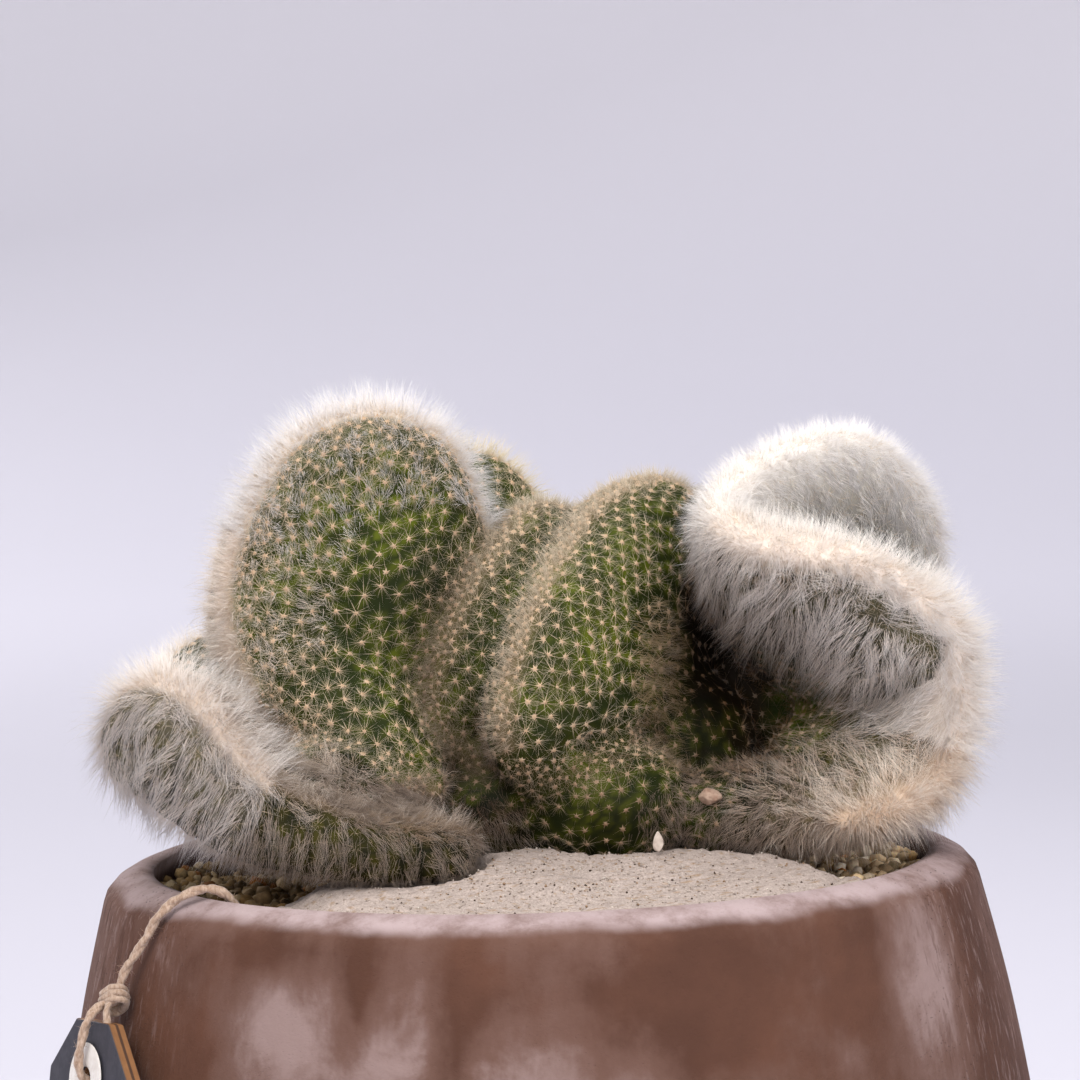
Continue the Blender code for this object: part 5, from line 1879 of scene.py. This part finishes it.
WASHES = (
    Wash(-120, 127, 13, 17, 0.17), Wash(-112, 122, 20, 16, 0.07), Wash(-122, 131, 6, 7, 0.14),
    Wash(-104, 127, 9, 18, 0.17), Wash(-94, 119, 9, 15, 0.20), Wash(-84, 116, 10, 12, 0.18),
    Wash(-112, 138, 2.2, 11, -0.36), Wash(-114, 127, 1.8, 6, -0.12), Wash(-99, 137, 2.8, 12, -0.34),
    Wash(-101, 124, 2.2, 8, -0.24), Wash(-127, 143, 9, 4, -0.26), Wash(-136, 128, 6, 14, -0.20),
    Wash(-74, 134, 15, 18, -0.22), Wash(-37, 128, 8, 18, 0.30), Wash(-53, 119, 2.4, 6, 0.30),
    Wash(-50, 130, 5, 14, -0.22), Wash(-25, 125, 6, 30, -0.28), Wash(-66, 116, 4, 8, 0.14),
)


@dataclass
class Pot:
    """The turned clay pot, its drain hole and the soil in it."""

    drain_radius: float = 8.0
    floor: float = 11.0
    around: int = 180
    uneven: float = 0.16

    def profile(self) -> Array:
        """Radius and height round the whole section, smooth but for the foot and the drain.

        Returns:
            The rows, in mm.
        """
        outer = smooth_route([(r, 0.0, z) for r, z in POT_OUTSIDE], 58)[:, [0, 2]]
        bore, floor = self.drain_radius, self.floor
        drain = [(bore + 1.0, 0.0), (bore, 0.8), (bore, floor - 0.8), (bore + 0.8, floor),
                 (30.0, floor), (55.0, floor)]
        inner = smooth_route([(r, 0.0, z) for r, z in POT_INSIDE + (POT_OUTSIDE[0],)], 24)[:-1, [0, 2]]
        return np.vstack([outer, [(60.0, 0.0), (30.0, 0.0)], drain, inner])

    @staticmethod
    def wash(azimuth: Array, height: Array) -> Array:
        """Lime at places: the sum of amount exp(-(angle / turn)^2 - (rise / tall)^2).

        Args:
            azimuth: turn about the pot in degrees.
            height: height in mm.

        Returns:
            The sum over the rows in front and the random ones behind and below them.
        """
        rng = np.random.default_rng(SEED + 9)
        rows = list(WASHES)
        for turns, heights, count in (((-8, 205), (20, 140), 44), ((-155, -8), (10, 105), 26)):
            spans = (turns, heights, (4, 13), (8, 22), (-0.3, 0.36))
            rows += [Wash(*row) for row in zip(*(rng.uniform(*span, count) for span in spans))]
        total = np.zeros(len(azimuth))
        for row in rows:
            turn = (azimuth - row.azimuth + 180) % 360 - 180
            total += row.amount * np.exp(-(turn / row.turn) ** 2 - ((height - row.height) / row.tall) ** 2)
        return total

    def build(self) -> None:
        """Turn the profile about the upright axis, with a slight waver in the radius."""
        profile, turn = self.profile(), circle(self.around)
        r, z = profile[:, 0:1], profile[:, 1:2]
        waver = self.uneven * (np.sin(2 * turn + z * 0.03) + 0.5 * np.sin(5 * turn - z * 0.05))
        waver = waver * np.clip(r / 80 - 0.2, 0, 1)
        rings = turned(r + waver * np.clip((149 - z) / 4, 0.15, 1) * np.clip(z / 6, 0, 1), z, turn)
        verts = rings.reshape(-1, 3)
        x, y, height = verts.T
        sideways = np.abs(x) / np.maximum(np.hypot(x, y), 1)
        add_piece("clay_pot", (verts, grid_faces(len(profile), self.around, loop_rows=True)),
                  ClayFinish().material(), Slot.CLAY, "pot",
                  worn=np.clip((sideways - 0.72) / 0.2, 0, 1),
                  wash=self.wash(np.degrees(np.arctan2(y, x)), height))
        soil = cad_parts["potting_mix"]
        soil.data.materials.clear()
        finish = plain_finish("dark_potting_mix", (0.020, 0.013, 0.009), (0.085, 0.055, 0.036),
                              420, 0.95, 0.9, 0.15)
        soil.data.materials.append(finish)


def ease(share: Array) -> Array:
    """Smooth step t^2 (3 - 2t)."""
    return share * share * (3 - 2 * share)


@dataclass
class Ground:
    """Grit bed, heap of sand and the two loose stones."""

    crest: Crest
    wall_radius: float = 80.1
    grit_step: float = 2.85
    mix_top: float = 132.0
    sand_radius: float = 79.9
    sand_edge: float = 1.0
    sand_front: float = 2.6
    sand_back: float = 9.4
    sand_around: int = 190
    sand_rings: int = 60
    loose_grains: int = 1800

    def roof(self, x: Array, y: Array) -> Array:
        """Lowest skin above each place: the least height in a 1 mm raster, spread 3 mm.

        Args:
            x: first coordinate of each place.
            y: second coordinate.

        Returns:
            A height for each place.
        """
        v = self.crest.skin.places
        v = v[(v[:, 2] > 143) & ~Crest.in_stump(v)]
        vx, vy, x, y = (np.clip(c + 120, 0, 239).astype(int) for c in (v[:, 0], v[:, 1], x, y))
        grid = np.full((240, 240), 400.0)
        np.minimum.at(grid, (vx, vy), v[:, 2])
        low = grid.copy()
        for dx in range(-3, 4):
            for dy in range(-3, 4):
                if dx * dx + dy * dy <= 10:
                    low = np.minimum(low, np.roll(grid, (dx, dy), axis=(0, 1)))
        return low[x, y]

    def sand_height(self, x: Array, y: Array) -> Array:
        """Height of the sand over its flat underside: low at the rim, high by the stem.

        Args:
            x: first coordinate of each place.
            y: second coordinate.

        Returns:
            A height for each place.
        """
        d = np.sqrt(((x - SAND_CENTRE[0]) / SAND_AXES[0]) ** 2 + ((y - SAND_CENTRE[1]) / SAND_AXES[1]) ** 2)
        inside = np.maximum(0, 1 - d)
        fade = ease(np.minimum(1, inside / 0.22))
        back = ease(np.clip((y + 78) / 62, 0, 1))
        side = 1 - 0.5 * np.minimum(1, np.abs(x - 2) / 60) ** 2
        swell = 0.35 * np.sin(x * 0.16 + 1) * np.sin(y * 0.21)
        full = self.sand_front + (self.sand_back - self.sand_front) * back * side + swell
        near_wall = np.clip((np.hypot(x, y) - 66) / 12, 0, 1)
        held = np.maximum(fade, near_wall * np.minimum(1, inside / 0.05))
        return self.sand_edge + (full - self.sand_edge) * held

    def sand(self) -> None:
        """The heap: rings of an oval cut off by the pot's wall, grainy on top and flat below."""
        rng = np.random.default_rng(SEED + 2)
        around, count, grains = self.sand_around, self.sand_rings, self.loose_grains
        turn = circle(around)
        ex, ey = SAND_AXES[0] * np.cos(turn), SAND_AXES[1] * np.sin(turn)
        tries = np.linspace(1, 0.4, 400)[:, None]
        fits = np.hypot(SAND_CENTRE[0] + ex * tries, SAND_CENTRE[1] + ey * tries) <= self.sand_radius
        reach = tries[np.argmax(fits, axis=0), 0]
        waver = 1 - 0.012 * (1 + np.sin(9 * turn + 1)) - 0.01 * (1 + np.sin(23 * turn)) * (reach > 0.99)
        edge = (np.arange(1, count + 1) / count)[:, None]
        f = reach * waver * edge ** 0.8
        x, y = SAND_CENTRE[0] + ex * f, SAND_CENTRE[1] + ey * f
        grain = rng.normal(size=x.shape)
        ripples = np.zeros_like(x)
        for size, tall in ((6.0, 0.22), (3.1, 0.20), (1.7, 0.16)):
            a, b = rng.uniform(0, 6, 2)
            ripples += (tall * np.sin(x / size * 2 + a + 1.3 * np.sin(y / size))
                        * np.sin(y / size * 2 + b + 1.1 * np.sin(x / size * 0.8)))
        z = SAND_BASE_Z + self.sand_height(x, y) + ripples * (0.5 + 0.9 * (edge > 0.8)) + 0.10 * grain
        z = np.maximum(np.minimum(z, self.roof(x, y) - 1.0), SAND_BASE_Z + 0.3)
        z[-1] = SAND_BASE_Z
        top = SAND_BASE_Z + float(self.sand_height(*map(np.array, SAND_CENTRE)))
        poles = (np.array((*SAND_CENTRE, end)) for end in (top, SAND_BASE_Z))
        heap = closed_shell(np.stack([x, y, z], axis=-1), *poles)
        verts = heap[0]
        tone = (0.51, 0.42, 0.37) * rng.uniform(0.82, 1.10, (len(verts), 1))
        tone = np.where(rng.random((len(verts), 1)) < 0.06, (0.37, 0.26, 0.17), tone)
        spot = verts[rng.integers(around * 4, around * (count - 3), grains)]
        spot = spot + rng.normal(size=(grains, 3)) * (0.25, 0.25, 0.04)
        loose = self.lumps(spot + (0, 0, 0.06), rng.uniform(0.14, 0.36, grains), rng)
        kind = rng.random((grains, 1))
        tones = np.array(((0.07, 0.045, 0.03), (0.35, 0.23, 0.14), (0.65, 0.58, 0.51), (0.48, 0.40, 0.34)))
        loose_tone = np.select([kind < 0.06, kind < 0.16, kind < 0.30], tones[:3], tones[3])
        add_piece("sand_heap", joined(heap, loose), GrainFinish("pale_sand", 2400, 0.35, 0.75, 0.16).material(),
                  Slot.SAND, "sand_mound", tint=np.vstack([tone, np.repeat(loose_tone, 6, axis=0)]))

    @staticmethod
    def lumps(places: Array, sizes: Array, rng: np.random.Generator) -> tuple[Array, Array]:
        """Small eight-sided grains with six corners, each pulled in or out at random.

        Args:
            places: their middles.
            sizes: their radii.
            rng: source of random numbers.

        Returns:
            Their corners and triangles.
        """
        star = np.array(((1, 0, 0), (0, 1, 0), (-1, 0, 0), (0, -1, 0), (0, 0, 1), (0, 0, -1)), float)
        far = sizes[:, None] * rng.uniform(0.65, 1.15, (len(places), 6))
        cell = ((0, 1, 4), (1, 2, 4), (2, 3, 4), (3, 0, 4), (1, 0, 5), (2, 1, 5), (3, 2, 5), (0, 3, 5))
        return copies(places[:, None] + star[None] * far[..., None], cell)

    @staticmethod
    def ball(subdivisions: int) -> tuple[Array, Array]:
        """An even ball of radius one.

        Args:
            subdivisions: how fine it is.

        Returns:
            Its corners and triangles.
        """
        bm = bmesh.new()
        bmesh.ops.create_icosphere(bm, subdivisions=subdivisions, radius=1)
        verts = np.array([v.co[:] for v in bm.verts])
        tris = np.array([[v.index for v in f.verts] for f in bm.faces])
        bm.free()
        return verts, tris

    def grit(self) -> None:
        """The bed as a turned disc, and stones on a jittered grid of triangles over it."""
        rng = np.random.default_rng(SEED + 3)
        step, wall = self.grit_step, self.wall_radius
        i, j = np.meshgrid(np.arange(-40, 41), np.arange(-46, 47))
        x, y = (c.ravel() + rng.uniform(-0.36, 0.36, c.size) * step
                for c in ((i + 0.5 * (j % 2)) * step, j * step * 0.866))
        size = rng.uniform(1.15, 1.9, len(x)) * rng.choice((0.75, 1.0, 1.0, 1.15), len(x))
        flat = np.stack([x, y], axis=1)
        keep = (np.hypot(x, y) < wall - 1.1) & ~inside_oval(flat, SAND_CENTRE, SAND_AXES, -1.0)
        keep &= ~inside_oval(flat, STUMP_CENTRE, STUMP_AXES, 1.5)
        x, y, size = x[keep], y[keep], size[keep]
        n = len(x)
        z = np.minimum(GRIT_TOP_Z + rng.uniform(-0.9, 0.9, n), self.roof(x, y) - size * 0.8)
        z = z + 0.4 * (np.hypot(x, y) > wall - 4)
        ball, tris = self.ball(1)
        spin = rng.normal(size=(n, 3, 3))
        first = unit(spin[:, 0])
        second = unit(np.cross(first, spin[:, 1]))
        axes = np.stack([first, second, np.cross(first, second)], axis=1) * rng.uniform(0.72, 1.12, (n, 3, 1))
        shape = ball[None] * rng.uniform(0.84, 1.14, (n, 12, 1))
        verts = np.einsum("nvk,nkj->nvj", shape, axes) * size[:, None, None]
        verts = verts + np.stack([x, y, z], axis=1)[:, None]
        verts[..., :2] /= np.maximum(np.hypot(verts[..., 0], verts[..., 1]) / (wall - 0.15), 1.0)[..., None]
        palette = np.array(((0.46, 0.36, 0.23), (0.34, 0.24, 0.12), (0.26, 0.21, 0.13), (0.58, 0.50, 0.38),
                            (0.20, 0.15, 0.09), (0.44, 0.21, 0.07), (0.66, 0.60, 0.50)))
        tone = palette[rng.choice(7, n, p=(0.26, 0.20, 0.16, 0.16, 0.10, 0.05, 0.07))]
        sides = np.where(x[:, None] < 0, (1.0, 0.84, 0.60), (1.0, 0.94, 0.86))
        tone = tone * rng.uniform(0.62, 1.38, (n, 1)) * (np.clip(1.32 + x / 95, 0.5, 2.3)[:, None] * sides)
        rim = np.array(((wall - 0.2, GRIT_TOP_Z - 0.8), (wall + 1.2, self.mix_top + GAP)))
        radius, level = rim.T[..., None]
        bed = closed_shell(turned(radius, level, circle(120)), *(np.array((0, 0, end)) for end in level[:, 0]))
        tint = np.vstack([np.tile((0.10, 0.07, 0.04), (len(bed[0]), 1)), np.repeat(tone, 12, axis=0)])
        add_piece("grit_stones", joined(bed, copies(verts, tris)),
                  GrainFinish("tan_grit", 700, 0.3, 0.35, 0.12).material(), Slot.GRIT, "grit_bed", tint=tint)
        LOG.info("grit stones: %d", n)

    def stone(self, name: str, node: str, point: float, colours: tuple, seed: int) -> None:
        """A small broken stone inside its node's box.

        A ball is cut flat by random planes (what stands past a plane is pressed back onto it),
        drawn in toward the top by 1 - point z, and stretched to the box.

        Args:
            name: name of the piece.
            node: the CAD node that it replaces.
            point: how far the top is drawn in.
            colours: two linear colours.
            seed: seed of the planes.
        """
        rng = np.random.default_rng(seed)
        low, high = (np.array(c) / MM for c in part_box(node))
        shape, tris = self.ball(4)
        for way, reach in zip(unit(rng.normal(size=(13, 3))), rng.uniform(0.62, 0.9, 13)):
            past = np.maximum(shape @ way - reach, 0)
            shape = shape - past[:, None] * way
        shape[:, :2] *= 1 - point * shape[:, 2:]
        shape += 0.02 * np.sin(shape[:, [1, 2, 0]] * 17 + 3 * np.sin(shape * 11))
        shape /= np.abs(shape).max(axis=0)
        add_piece(name, ((low + high) / 2 + shape * (high - low) / 2 * 0.97, tris),
                  plain_finish("broken_stone_" + node, *colours, 420, 0.85, 0.15), Slot.STONE, node)

    def build(self) -> None:
        """Make the grit, the sand, the flake that stands in it and the pebble in the fold."""
        self.grit()
        self.sand()
        self.stone("stone_flake_chip", "stone_flake", 0.55, ((0.40, 0.32, 0.26), (0.66, 0.57, 0.49)), 5)
        self.stone("crease_pebble", "pebble", 0.15, ((0.26, 0.16, 0.11), (0.50, 0.36, 0.27)), 8)


def main() -> None:
    """Build every piece in order."""
    logging.basicConfig(level=logging.INFO, format="%(name)s %(message)s")
    Studio().build()
    TagAndTwine().build()
    Pot().build()
    crest = Crest()
    crest.build()
    Ground(crest).build()


if __name__ == "__main__":
    main()
